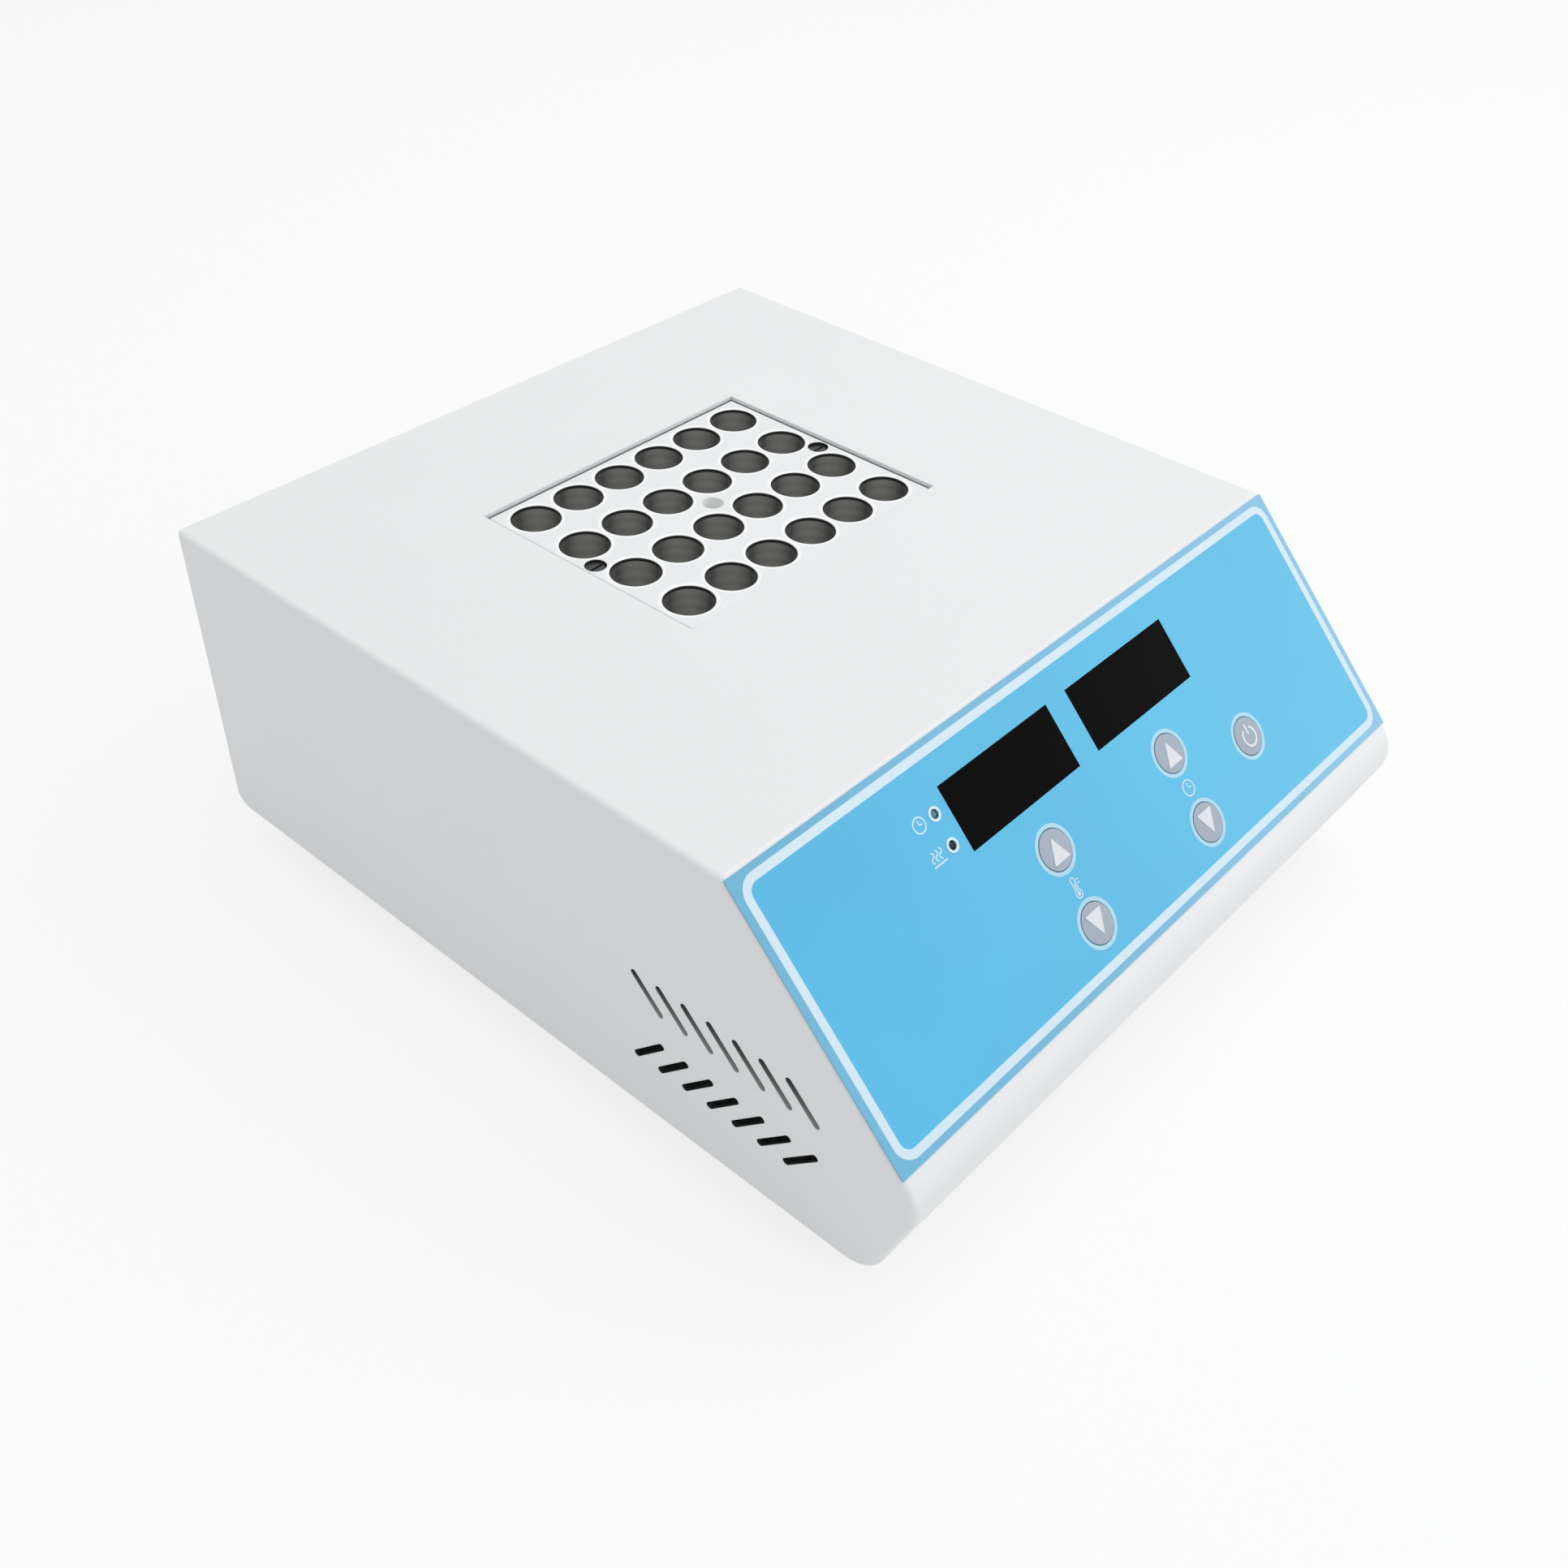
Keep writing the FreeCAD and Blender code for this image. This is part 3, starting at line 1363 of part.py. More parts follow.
def switch_rocker():
    """The rocker: a shallow V on top, round underneath, on two stub pins."""
    half_x = switch_width / 2 - 2 * switch_rim - rocker_clearance
    reach = switch_height / 2 - 2 * switch_rim - rocker_clearance
    tilt = math.tan(math.radians(rocker_throw))
    under = -4.2
    points = [V(-half_x, -reach + 0.9, under + 2), V(-half_x, -reach + 0.2, 1.2),
              V(-half_x, -reach + 0.4, 1.0 + reach * tilt), V(-half_x, 0, 1.0),
              V(-half_x, reach - 0.4, 1.0 + reach * tilt), V(-half_x, reach - 0.2, 1.2),
              V(-half_x, reach - 0.9, under + 2), V(-half_x, 0, under), V(-half_x, -reach + 0.9, under + 2)]
    body = Part.Face(Part.makePolygon(points)).extrude(V(2 * half_x, 0, 0))
    pin_half = half_x + rocker_pin_reach
    pins = rod(rocker_pin_radius, (-pin_half, 0, 0), (1, 0, 0), 2 * pin_half)
    rocker = join([body, pins])
    rocker.rotate(V(0, 0, 0), V(1, 0, 0), -rocker_throw)
    return switch_frame(rocker)


def write(name, shape):
    """Writes one named piece, after checking that every solid in it is sound."""
    if not shape.Solids or any(not s.isValid() or s.Volume <= 0 for s in shape.Solids):
        raise ValueError(name + " is not a sound solid")
    solids = shape.Solids
    piece = solids[0] if len(solids) == 1 else Part.makeCompound(solids)
    piece.exportStep("parts/" + name + ".step")
    print(name, len(solids), round(piece.Volume, 1))


def end_leads_on(pieces):
    """Cuts each lead back to the faces of the pieces that it runs to."""
    ends = {
        "mains_leads": ("inlet_pins", "inlet_housing", "switch_housing", "earth_stud", "terminal_block"),
        "heater_leads": ("heater_mat", "insulation_pad", "thermal_cutout", "terminal_block"),
        "probe_lead": ("temperature_probe", "control_chips"),
    }
    for name, others in ends.items():
        kept = []
        for lead in pieces[name].Solids:
            left = lead.cut([pieces[other] for other in others])
            kept.append(max(left.Solids, key=lambda solid: solid.Volume))
        pieces[name] = Part.makeCompound(kept)


def all_pieces():
    """Every piece by name."""
    pieces = {
        "case_cover": case_cover(),
        "base_tray": base_tray(),
        "front_overlay": front_overlay(),
        "temperature_window": display_window(-1),
        "time_window": display_window(1),
        "temperature_display": display_module(-1),
        "time_display": display_module(1),
        "timer_indicator": indicator(indicator_down[0]),
        "heating_indicator": indicator(indicator_down[1]),
        "key_switches": key_switches(),
        "control_board": control_board(),
        "control_board_spacers": control_spacers(),
        "control_board_screws": control_screws(),
        "control_chips": control_chips(),
        "ribbon_headers": ribbon_headers(),
        "ribbon_cable": ribbon_cable(),
        "mains_leads": mains_leads(),
        "earth_stud": earth_stud(),
        "heater_leads": heater_leads(),
        "probe_lead": probe_lead(),
        "tube_block": tube_block(),
        "block_screws": block_screws(),
        "well_liner": well_liner(),
        "heater_plate": heater_plate(),
        "heater_mat": heater_mat(),
        "insulation_pad": insulation_pad(),
        "heater_pan": heater_pan(),
        "pan_spacers": pan_spacers(),
        "pan_screws": pan_screws(),
        "temperature_probe": temperature_probe(),
        "thermal_cutout": thermal_cutout(),
        "cutout_screws": cutout_screws(),
        "foot_screws": foot_screws(),
        "foot_nuts": nuts_on(foot_places(), z_tray_top),
        "cover_screws": screws_up(cover_screw_places(), z_floor, 2 * sheet + 4),
        "power_board": power_board(),
        "power_board_spacers": power_spacers(),
        "power_board_screws": screws_down(power_spacer_places(), power_board_top(), board_thickness + 4),
        "transformer": transformer(),
        "relay": relay(),
        "capacitors": capacitors(),
        "triac_heatsink": triac_heatsink(),
        "triac": triac(),
        "terminal_block": terminal_block(),
        "inlet_housing": inlet_housing(),
        "inlet_pins": inlet_pins(),
        "inlet_screws": inlet_screws(),
        "fuse_drawer": fuse_drawer(),
        "fuse": fuse(),
        "switch_housing": switch_housing(),
        "switch_rocker": switch_rocker(),
    }
    for name, (across, down) in key_places.items():
        pieces[name] = key_cap(across, down)
    foot_names = ("foot_front_left", "foot_rear_left", "foot_front_right", "foot_rear_right")
    for name, (x, y) in zip(foot_names, foot_places()):
        pieces[name] = rubber_foot(x, y)
    end_leads_on(pieces)
    return pieces


if __name__ == "__main__":
    os.makedirs("parts", exist_ok=True)
    for piece_name, piece_shape in all_pieces().items():
        write(piece_name, piece_shape)
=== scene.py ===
import json
import logging
import math
from dataclasses import dataclass, field, replace
from enum import Enum
from typing import Dict, Iterable, List, NamedTuple, Optional, Sequence, Tuple, Union

import bmesh
import bpy
from mathutils import Matrix, Vector


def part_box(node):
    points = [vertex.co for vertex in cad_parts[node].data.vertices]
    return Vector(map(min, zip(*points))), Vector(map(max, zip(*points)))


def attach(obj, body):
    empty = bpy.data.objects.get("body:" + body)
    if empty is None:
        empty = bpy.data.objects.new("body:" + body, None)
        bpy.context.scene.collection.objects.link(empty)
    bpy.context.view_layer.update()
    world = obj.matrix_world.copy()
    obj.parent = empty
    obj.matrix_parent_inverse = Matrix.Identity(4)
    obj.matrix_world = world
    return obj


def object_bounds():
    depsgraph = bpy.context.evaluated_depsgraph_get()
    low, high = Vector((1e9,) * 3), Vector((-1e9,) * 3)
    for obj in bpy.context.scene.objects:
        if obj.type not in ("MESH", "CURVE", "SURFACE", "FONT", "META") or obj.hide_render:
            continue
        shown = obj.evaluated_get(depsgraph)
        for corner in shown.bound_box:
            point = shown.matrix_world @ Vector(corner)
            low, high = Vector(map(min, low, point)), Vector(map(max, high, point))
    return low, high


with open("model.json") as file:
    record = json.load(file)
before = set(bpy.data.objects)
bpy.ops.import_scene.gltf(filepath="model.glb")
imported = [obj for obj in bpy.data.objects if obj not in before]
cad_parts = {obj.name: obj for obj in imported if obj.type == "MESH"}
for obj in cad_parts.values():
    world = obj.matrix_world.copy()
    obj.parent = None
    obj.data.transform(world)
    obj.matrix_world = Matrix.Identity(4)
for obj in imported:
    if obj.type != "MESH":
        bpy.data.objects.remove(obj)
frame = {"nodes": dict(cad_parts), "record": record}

# A bench dry bath: a powder-coated sheet case with a printed sloping panel, and an aluminium
# tube block let into its top. Lengths are in metres in Blender; sizes below are in millimetres.

MM = 0.001
CAD_BOX = [list(corner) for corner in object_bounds()]
SLOPE_DEG = 45.7
TOP_DEPTH_MM = 197.5
FILM_MM = 0.4
LAMP_ACROSS_MM = -51.7
LAMP_DOWN_MM = (16.6, 24.9)
BODY = "case"

# The part of a noise's range that a drift of shade, and one of gloss, is spread over
SHADE_SPAN = (0.25, 0.75)
GLOSS_SPAN = (0.3, 0.7)
SMEAR_MM = 18.0
# A band texture of scale one runs through 20 radians in a metre
BAND_RATE = 20.0

# The types of node that come most often
MATH = "ShaderNodeMath"
VECTOR = "ShaderNodeVectorMath"
MIX = "ShaderNodeMix"
RANGE = "ShaderNodeMapRange"

log = logging.getLogger("dry_bath")

Tree = bpy.types.NodeTree
Socket = bpy.types.NodeSocket
Source = Union[bpy.types.Node, Socket]
Colour = Tuple[float, float, float, float]
Setting = Union[float, int, str, bool, Tuple[float, ...]]


def linear(hex_colour: str) -> Colour:
    """Turns an sRGB hex colour into Blender's linear colour.

    Args:
        hex_colour: The colour as six hex digits, with or without a leading hash.

    Returns:
        The colour as linear red, green, blue and an alpha of one.
    """
    digits = hex_colour.lstrip("#")
    channels = [int(digits[i:i + 2], 16) / 255 for i in (0, 2, 4)]
    values = [c / 12.92 if c <= 0.04045 else ((c + 0.055) / 1.055) ** 2.4 for c in channels]
    return (values[0], values[1], values[2], 1.0)


class Surface(NamedTuple):
    """A material's node tree, and the object coordinates in it."""

    tree: Tree
    place: Socket


def output(source: Source) -> Socket:
    """Gives a node's first output in use, and a socket as it is."""
    return source if isinstance(source, Socket) else next(end for end in source.outputs if end.enabled)


def add_node(tree: Tree, kind: str,
             settings: Optional[Dict[Union[str, int], Union[Setting, Source]]] = None) -> bpy.types.Node:
    """Adds a shader node with its settings and links.

    Args:
        tree: The node tree that gets the node.
        kind: The node's type name.
        settings: The node's attributes and inputs, by name or by input number. A socket or another
            node is linked to the input, and anything else is its value.

    Returns:
        The new node.
    """
    node = tree.nodes.new(kind)
    for key, value in (settings or {}).items():
        if isinstance(value, (bpy.types.Node, Socket)):
            tree.links.new(output(value), node.inputs[key])
        elif isinstance(key, int) or key in node.inputs:
            node.inputs[key].default_value = value
        else:
            setattr(node, key, value)
    return node


@dataclass(frozen=True)
class Finish:
    """A surface finish: what the material is, how it was made and how that looks.

    The grain is the surface's own fine relief, given by its size and depth. The mottle is a slow
    drift of its shade, given by its share and size. Sizes and depths are in millimetres.
    """

    name: str
    colour: str
    roughness: float
    metallic: float = 0.0
    ior: float = 1.5
    specular: float = 0.5
    coat: float = 0.0
    coat_roughness: float = 0.1
    grain: Tuple[float, float] = (0.0, 0.0)
    grain_stretch: Tuple[float, float, float] = (1.0, 1.0, 1.0)
    mottle: Tuple[float, float] = (0.0, 40.0)
    gloss_drift: float = 0.0

    def build(self) -> bpy.types.Material:
        """Makes the material, once for each name.

        Returns:
            The new material, or the one already made under this name.
        """
        made = bpy.data.materials.get(self.name)
        if made is not None:
            return made
        material = bpy.data.materials.new(self.name)
        material.use_nodes = True
        tree = material.node_tree
        tree.nodes.clear()
        on = Surface(tree, add_node(tree, "ShaderNodeTexCoord").outputs["Object"])
        shader = add_node(tree, "ShaderNodeBsdfPrincipled", {
            "Base Color": linear(self.colour), "Roughness": self.roughness, "Metallic": self.metallic,
            "IOR": self.ior, "Specular IOR Level": self.specular, "Coat Weight": self.coat,
            "Coat Roughness": self.coat_roughness})
        for name, vary in (("Base Color", self.paint), ("Roughness", self.gloss),
                           ("Normal", self.relief), ("Metallic", self.metal)):
            source = vary(on)
            if source is not None:
                tree.links.new(output(source), shader.inputs[name])
        add_node(tree, "ShaderNodeOutputMaterial", {"Surface": shader})
        material.diffuse_color = linear(self.colour)
        return material

    def paint(self, on: Surface) -> Optional[Source]:
        """Gives what carries the colour, or None where it is the same all over."""
        return self.drift(on, linear(self.colour)[:3]) if self.mottle[0] else None

    def drift(self, on: Surface, colour: Union[Tuple[float, ...], Source]) -> Source:
        """Lets a colour drift slowly lighter and darker over the surface.

        Args:
            on: The material's tree and coordinates.
            colour: The colour, as three values or as what carries it.

        Returns:
            What carries the drifting colour.
        """
        share, size_mm = self.mottle
        cloud = add_node(on.tree, "ShaderNodeTexNoise", {
            "Scale": 1 / (size_mm * MM), "Detail": 3.0, "Vector": on.place})
        shade = add_node(on.tree, RANGE, {
            "From Min": SHADE_SPAN[0], "From Max": SHADE_SPAN[1], "To Min": 1 - share, "To Max": 1 + share,
            "Value": cloud})
        return add_node(on.tree, VECTOR, {"operation": "SCALE", 0: colour, "Scale": shade})

    def gloss(self, on: Surface) -> Optional[Source]:
        """Smears the gloss a little, as handling does.

        Args:
            on: The material's tree and coordinates.

        Returns:
            What carries the roughness, or None where the gloss is even.
        """
        if not self.gloss_drift:
            return None
        smear = add_node(on.tree, "ShaderNodeTexNoise", {
            "Scale": 1 / (SMEAR_MM * MM), "Detail": 4.0, "Vector": on.place})
        return add_node(on.tree, RANGE, {
            "From Min": GLOSS_SPAN[0], "From Max": GLOSS_SPAN[1],
            "To Min": self.roughness - self.gloss_drift, "To Max": self.roughness + self.gloss_drift,
            "Value": smear})

    def metal(self, on: Surface) -> Optional[Source]:
        """Gives what carries the metallic share, or None where it is the same all over."""
        return None

    def relief(self, on: Surface) -> Optional[Source]:
        """Raises the surface's own fine grain.

        Args:
            on: The material's tree and coordinates.

        Returns:
            What carries the bumped normal, or None on a smooth surface.
        """
        size_mm, depth_mm = self.grain
        if not size_mm:
            return None
        stretched = add_node(on.tree, "ShaderNodeMapping", {
            "Scale": self.grain_stretch, "Vector": on.place})
        grain = add_node(on.tree, "ShaderNodeTexNoise", {
            "Scale": 1 / (size_mm * MM), "Detail": 2.0, "Vector": stretched})
        return add_node(on.tree, "ShaderNodeBump", {
            "Strength": 1.0, "Distance": depth_mm * MM, "Height": grain})


@dataclass(frozen=True)
class BoredAluminium(Finish):
    """Aluminium with a blasted, clear-anodised top and darker drilled bores on a rectangular grid.

    The blasted top reads near white, with a painted highlight ring round each bore and a dark
    ring of painted shade at each mouth. The bores keep the drill's grey, with faint rings from its
    feed; on the walls a soft band of painted highlight runs down two opposite sides, with painted
    shade on the flanks between, and painted shade at the mouth gives way to painted light deeper
    down. The tapped lifting hole is painted lighter than the block, as painted light in its depth.
    """

    bore_colour: str = "#d6d6d2"
    groove_share: float = 0.86
    feed_mm: float = 0.5
    wobble: float = 0.4
    # Painted shade on the bore walls' flanks, and where the painted highlight band begins, as a share of
    # the bore's radius
    flank_shade_share: float = 0.34
    highlight_start: float = 0.66
    # Painted shade near the mouth and painted light deeper down the bore walls, down to the given depth
    mouth_shade_share: float = 0.55
    deep_light_share: float = 1.35
    deep_mm: float = 11.0
    # Painted shade: a dark ring just below the top, at each bore's mouth
    rim_shade_colour: str = "#262626"
    rim_mm: float = 0.9
    rim_fade_mm: float = 0.3
    # Painted highlight: a whiter ring on the top round each bore's mouth, and its span beyond the bore
    mouth_highlight_colour: str = "#fbfcfc"
    mouth_highlight_mm: Tuple[float, float] = (0.5, 1.4)
    # Painted light: the tapped lifting hole is lighter than the block, against the shade of its depth
    thread_light_colour: str = "#fcfdfd"
    edge_mm: float = 0.18
    edge_fade_mm: float = 0.02
    edge_in_mm: float = 0.6
    top_mm: float = 100.0
    centre_mm: Tuple[float, float] = (0.0, 0.0)
    half_mm: Tuple[float, float] = (48.0, 38.0)
    pitch_mm: Tuple[float, float] = (15.6, 19.2)
    bore_mm: float = 6.75
    # The direction in plan of the walls that carry the painted highlight band
    highlight_towards: Tuple[float, float, float] = (0.758, 0.652, 0.0)
    thread_mm: float = 3.4
    top_metallic: float = 0.3
    bore_metallic: float = 0.2

    def above(self, on: Surface, low: float, high: float) -> Source:
        """Gives a value that rises from 0 to 1 between two depths below the block's top.

        Args:
            on: The material's tree and coordinates.
            low: The depth where the value is zero, in millimetres.
            high: The depth where it reaches one, in millimetres.

        Returns:
            What carries the value.
        """
        height = add_node(on.tree, "ShaderNodeSeparateXYZ", {"Vector": on.place})
        return add_node(on.tree, RANGE, {
            "From Min": (self.top_mm - low) * MM, "From Max": (self.top_mm - high) * MM,
            "Value": height.outputs["Z"]})

    def on_top(self, on: Surface) -> Source:
        """Gives one on the block's top and zero below its edge."""
        return self.above(on, self.edge_mm + self.edge_fade_mm, self.edge_mm)

    def centre(self) -> Tuple[float, float, float]:
        """Gives the middle of the block in plan, in metres."""
        return (self.centre_mm[0] * MM, self.centre_mm[1] * MM, 0.0)

    def from_bore(self, on: Surface) -> Source:
        """Folds the grid of bores onto one cell.

        Args:
            on: The material's tree and coordinates.

        Returns:
            The level vector from the nearest bore's axis.
        """
        half = tuple(pitch * MM / 2 for pitch in self.pitch_mm)
        corner = (self.centre_mm[0] * MM + half[0], self.centre_mm[1] * MM + half[1], 0.0)
        moved = add_node(on.tree, VECTOR, {"operation": "SUBTRACT", 0: on.place, 1: corner})
        folded = add_node(on.tree, VECTOR, {
            "operation": "WRAP", 0: moved, 1: (half[0], half[1], 1.0), 2: (-half[0], -half[1], -1.0)})
        return add_node(on.tree, VECTOR, {"operation": "MULTIPLY", 0: folded, 1: (1.0, 1.0, 0.0)})

    def drilled(self, on: Surface) -> Source:
        """Tells the block's outer sides from all that lies within them.

        Args:
            on: The material's tree and coordinates.

        Returns:
            One inside the broken outer edges and zero on the four sides.
        """
        moved = add_node(on.tree, VECTOR, {"operation": "SUBTRACT", 0: on.place, 1: self.centre()})
        folded = add_node(on.tree, VECTOR, {"operation": "ABSOLUTE", 0: moved})
        axes = add_node(on.tree, "ShaderNodeSeparateXYZ", {"Vector": folded})
        within = [add_node(on.tree, MATH, {
            "operation": "LESS_THAN", 0: axes.outputs[axis], 1: (half - self.edge_in_mm) * MM})
            for axis, half in zip("XY", self.half_mm)]
        return add_node(on.tree, MATH, {"operation": "MULTIPLY", 0: within[0], 1: within[1]})

    def off_thread(self, on: Surface) -> Source:
        """Tells the tapped lifting hole in the middle from the rest.

        Args:
            on: The material's tree and coordinates.

        Returns:
            Zero in the hole and one elsewhere.
        """
        flat = add_node(on.tree, VECTOR, {"operation": "MULTIPLY", 0: on.place, 1: (1.0, 1.0, 0.0)})
        reach = add_node(on.tree, VECTOR, {"operation": "DISTANCE", 0: flat, 1: self.centre()})
        return add_node(on.tree, MATH, {"operation": "GREATER_THAN", 0: reach, 1: self.thread_mm * MM})

    def bore(self, on: Surface, arm: Source) -> Source:
        """Gives the bore wall's colour: the drill's rings, a painted highlight band, painted shade on the
        flanks and at the mouth, and painted light deeper down.

        Args:
            on: The material's tree and coordinates.
            arm: The level vector from the nearest bore's axis.

        Returns:
            What carries the wall's colour.
        """
        rings = add_node(on.tree, "ShaderNodeTexWave", {
            "wave_type": "BANDS", "bands_direction": "Z", "Scale": 1 / (self.feed_mm * MM) / BAND_RATE,
            "Distortion": self.wobble, "Vector": on.place})
        grey = linear(self.bore_colour)
        dark = tuple(c * self.groove_share for c in grey[:3]) + (1.0,)
        wall = add_node(on.tree, MIX, {"data_type": "RGBA", 0: rings.outputs["Fac"], 6: dark, 7: grey})
        # Painted highlight down the walls that face along that direction, painted shade on the flanks
        facing = add_node(on.tree, VECTOR, {"operation": "DOT_PRODUCT", 0: arm, 1: self.highlight_towards})
        either = add_node(on.tree, MATH, {"operation": "ABSOLUTE", 0: facing})
        band = add_node(on.tree, RANGE, {
            "From Min": self.highlight_start * self.bore_mm * MM, "From Max": self.bore_mm * MM,
            "To Min": self.flank_shade_share, "To Max": 1.0, "Value": either})
        # Painted shade at the mouth, turning to painted light deeper down
        deep = add_node(on.tree, RANGE, {
            "To Min": self.deep_light_share, "To Max": self.mouth_shade_share,
            "Value": self.above(on, self.deep_mm, self.rim_mm)})
        share = add_node(on.tree, MATH, {"operation": "MULTIPLY", 0: band, 1: deep})
        return add_node(on.tree, VECTOR, {"operation": "SCALE", 0: wall, "Scale": share})

    def paint(self, on: Surface) -> Optional[Source]:
        """Paints the top, the painted highlight ring and the dark ring of painted shade at each bore's
        mouth, the bores, the lifting hole and the outer sides.

        Args:
            on: The material's tree and coordinates.

        Returns:
            What carries the colour.
        """
        arm = self.from_bore(on)
        # Painted shade: the dark ring at each mouth, laid over the bore wall's colour
        rim = add_node(on.tree, MIX, {
            "data_type": "RGBA", 0: self.above(on, self.rim_mm + self.rim_fade_mm, self.rim_mm),
            6: self.bore(on, arm), 7: linear(self.rim_shade_colour)})
        # Painted light in the tapped lifting hole
        wall = add_node(on.tree, MIX, {
            "data_type": "RGBA", 0: self.off_thread(on), 6: linear(self.thread_light_colour), 7: rim})
        reach = add_node(on.tree, VECTOR, {"operation": "LENGTH", 0: arm})
        # Painted highlight: the top turns whiter close round each bore
        halo = add_node(on.tree, RANGE, {
            "From Min": (self.bore_mm + self.mouth_highlight_mm[1]) * MM,
            "From Max": (self.bore_mm + self.mouth_highlight_mm[0]) * MM, "Value": reach})
        top = add_node(on.tree, MIX, {
            "data_type": "RGBA", 0: halo, 6: linear(self.colour), 7: linear(self.mouth_highlight_colour)})
        both = add_node(on.tree, MIX, {"data_type": "RGBA", 0: self.on_top(on), 6: wall, 7: top})
        body = add_node(on.tree, MIX, {
            "data_type": "RGBA", 0: self.drilled(on), 6: linear(self.colour), 7: both})
        return self.drift(on, body)

    def metal(self, on: Surface) -> Optional[Source]:
        """Gives the bores and the top their shares of bare metal, and the lifting hole none.

        Args:
            on: The material's tree and coordinates.

        Returns:
            What carries the metallic share.
        """
        below = add_node(on.tree, MATH, {"operation": "SUBTRACT", 0: 1.0, 1: self.on_top(on)})
        bores = add_node(on.tree, MATH, {"operation": "MULTIPLY", 0: below, 1: self.drilled(on)})
        share = add_node(on.tree, RANGE, {
            "To Min": self.top_metallic, "To Max": self.bore_metallic, "Value": bores})
        return add_node(on.tree, MATH, {"operation": "MULTIPLY", 0: share, 1: self.off_thread(on)})


@dataclass(frozen=True)
class SlottedCoat(Finish):
    """Powder coat over laser-cut sheet, with painted shade on the cut faces inside the side slots, so that
    their edges read dark.

    The slots lie in one box on each side, given by its range along Y and Z. Painted light makes the
    cut faces of the upper row lighter towards the foot of each slot.
    """

    # Painted shade on the slots' cut faces, and painted light at the foot of the upper row
    slot_shade_colour: str = "#36383a"
    slot_foot_light_colour: str = "#e2e3e4"
    row_mm: Tuple[float, float] = (41.5, 56.0)
    row_split_mm: float = 38.0
    skin_mm: float = 0.12
    cut_mm: float = 5.0
    side_mm: float = 110.0
    along_mm: Tuple[float, float] = (-103.0, -39.0)
    height_mm: Tuple[float, float] = (24.0, 58.5)

    def between(self, on: Surface, value: Source, low: float, high: float) -> Source:
        """Gives one where a length in metres lies between two limits in millimetres, and else zero."""
        return add_node(on.tree, MATH, {
            "operation": "COMPARE", 0: value, 1: (low + high) / 2 * MM, 2: (high - low) / 2 * MM})

    def paint(self, on: Surface) -> Optional[Source]:
        """Paints shade on the cut faces of the slots, which lie just behind the outer skin of each side,
        and painted light towards the foot of the upper row.

        Args:
            on: The material's tree and coordinates.

        Returns:
            What carries the colour.
        """
        axes = add_node(on.tree, "ShaderNodeSeparateXYZ", {"Vector": on.place})
        side = add_node(on.tree, MATH, {"operation": "ABSOLUTE", 0: axes.outputs["X"]})
        behind = self.between(on, side, self.side_mm - self.cut_mm, self.side_mm - self.skin_mm)
        along = self.between(on, axes.outputs["Y"], *self.along_mm)
        tall = self.between(on, axes.outputs["Z"], *self.height_mm)
        first = add_node(on.tree, MATH, {"operation": "MULTIPLY", 0: behind, 1: along})
        inside = add_node(on.tree, MATH, {"operation": "MULTIPLY", 0: first, 1: tall})
        # Painted light: the upper row's cut faces turn lighter towards each slot's foot
        foot_light = add_node(on.tree, RANGE, {
            "From Min": self.row_mm[1] * MM, "From Max": self.row_mm[0] * MM, "Value": axes.outputs["Z"]})
        upper = add_node(on.tree, MATH, {
            "operation": "GREATER_THAN", 0: axes.outputs["Z"], 1: self.row_split_mm * MM})
        share = add_node(on.tree, MATH, {"operation": "MULTIPLY", 0: foot_light, 1: upper})
        edge = add_node(on.tree, MIX, {
            "data_type": "RGBA", 0: share, 6: linear(self.slot_shade_colour), 7: linear(self.slot_foot_light_colour)})
        # Painted shade on the cut faces inside the slots
        mix = add_node(on.tree, MIX, {"data_type": "RGBA", 0: inside, 6: linear(self.colour), 7: edge})
        return self.drift(on, mix)


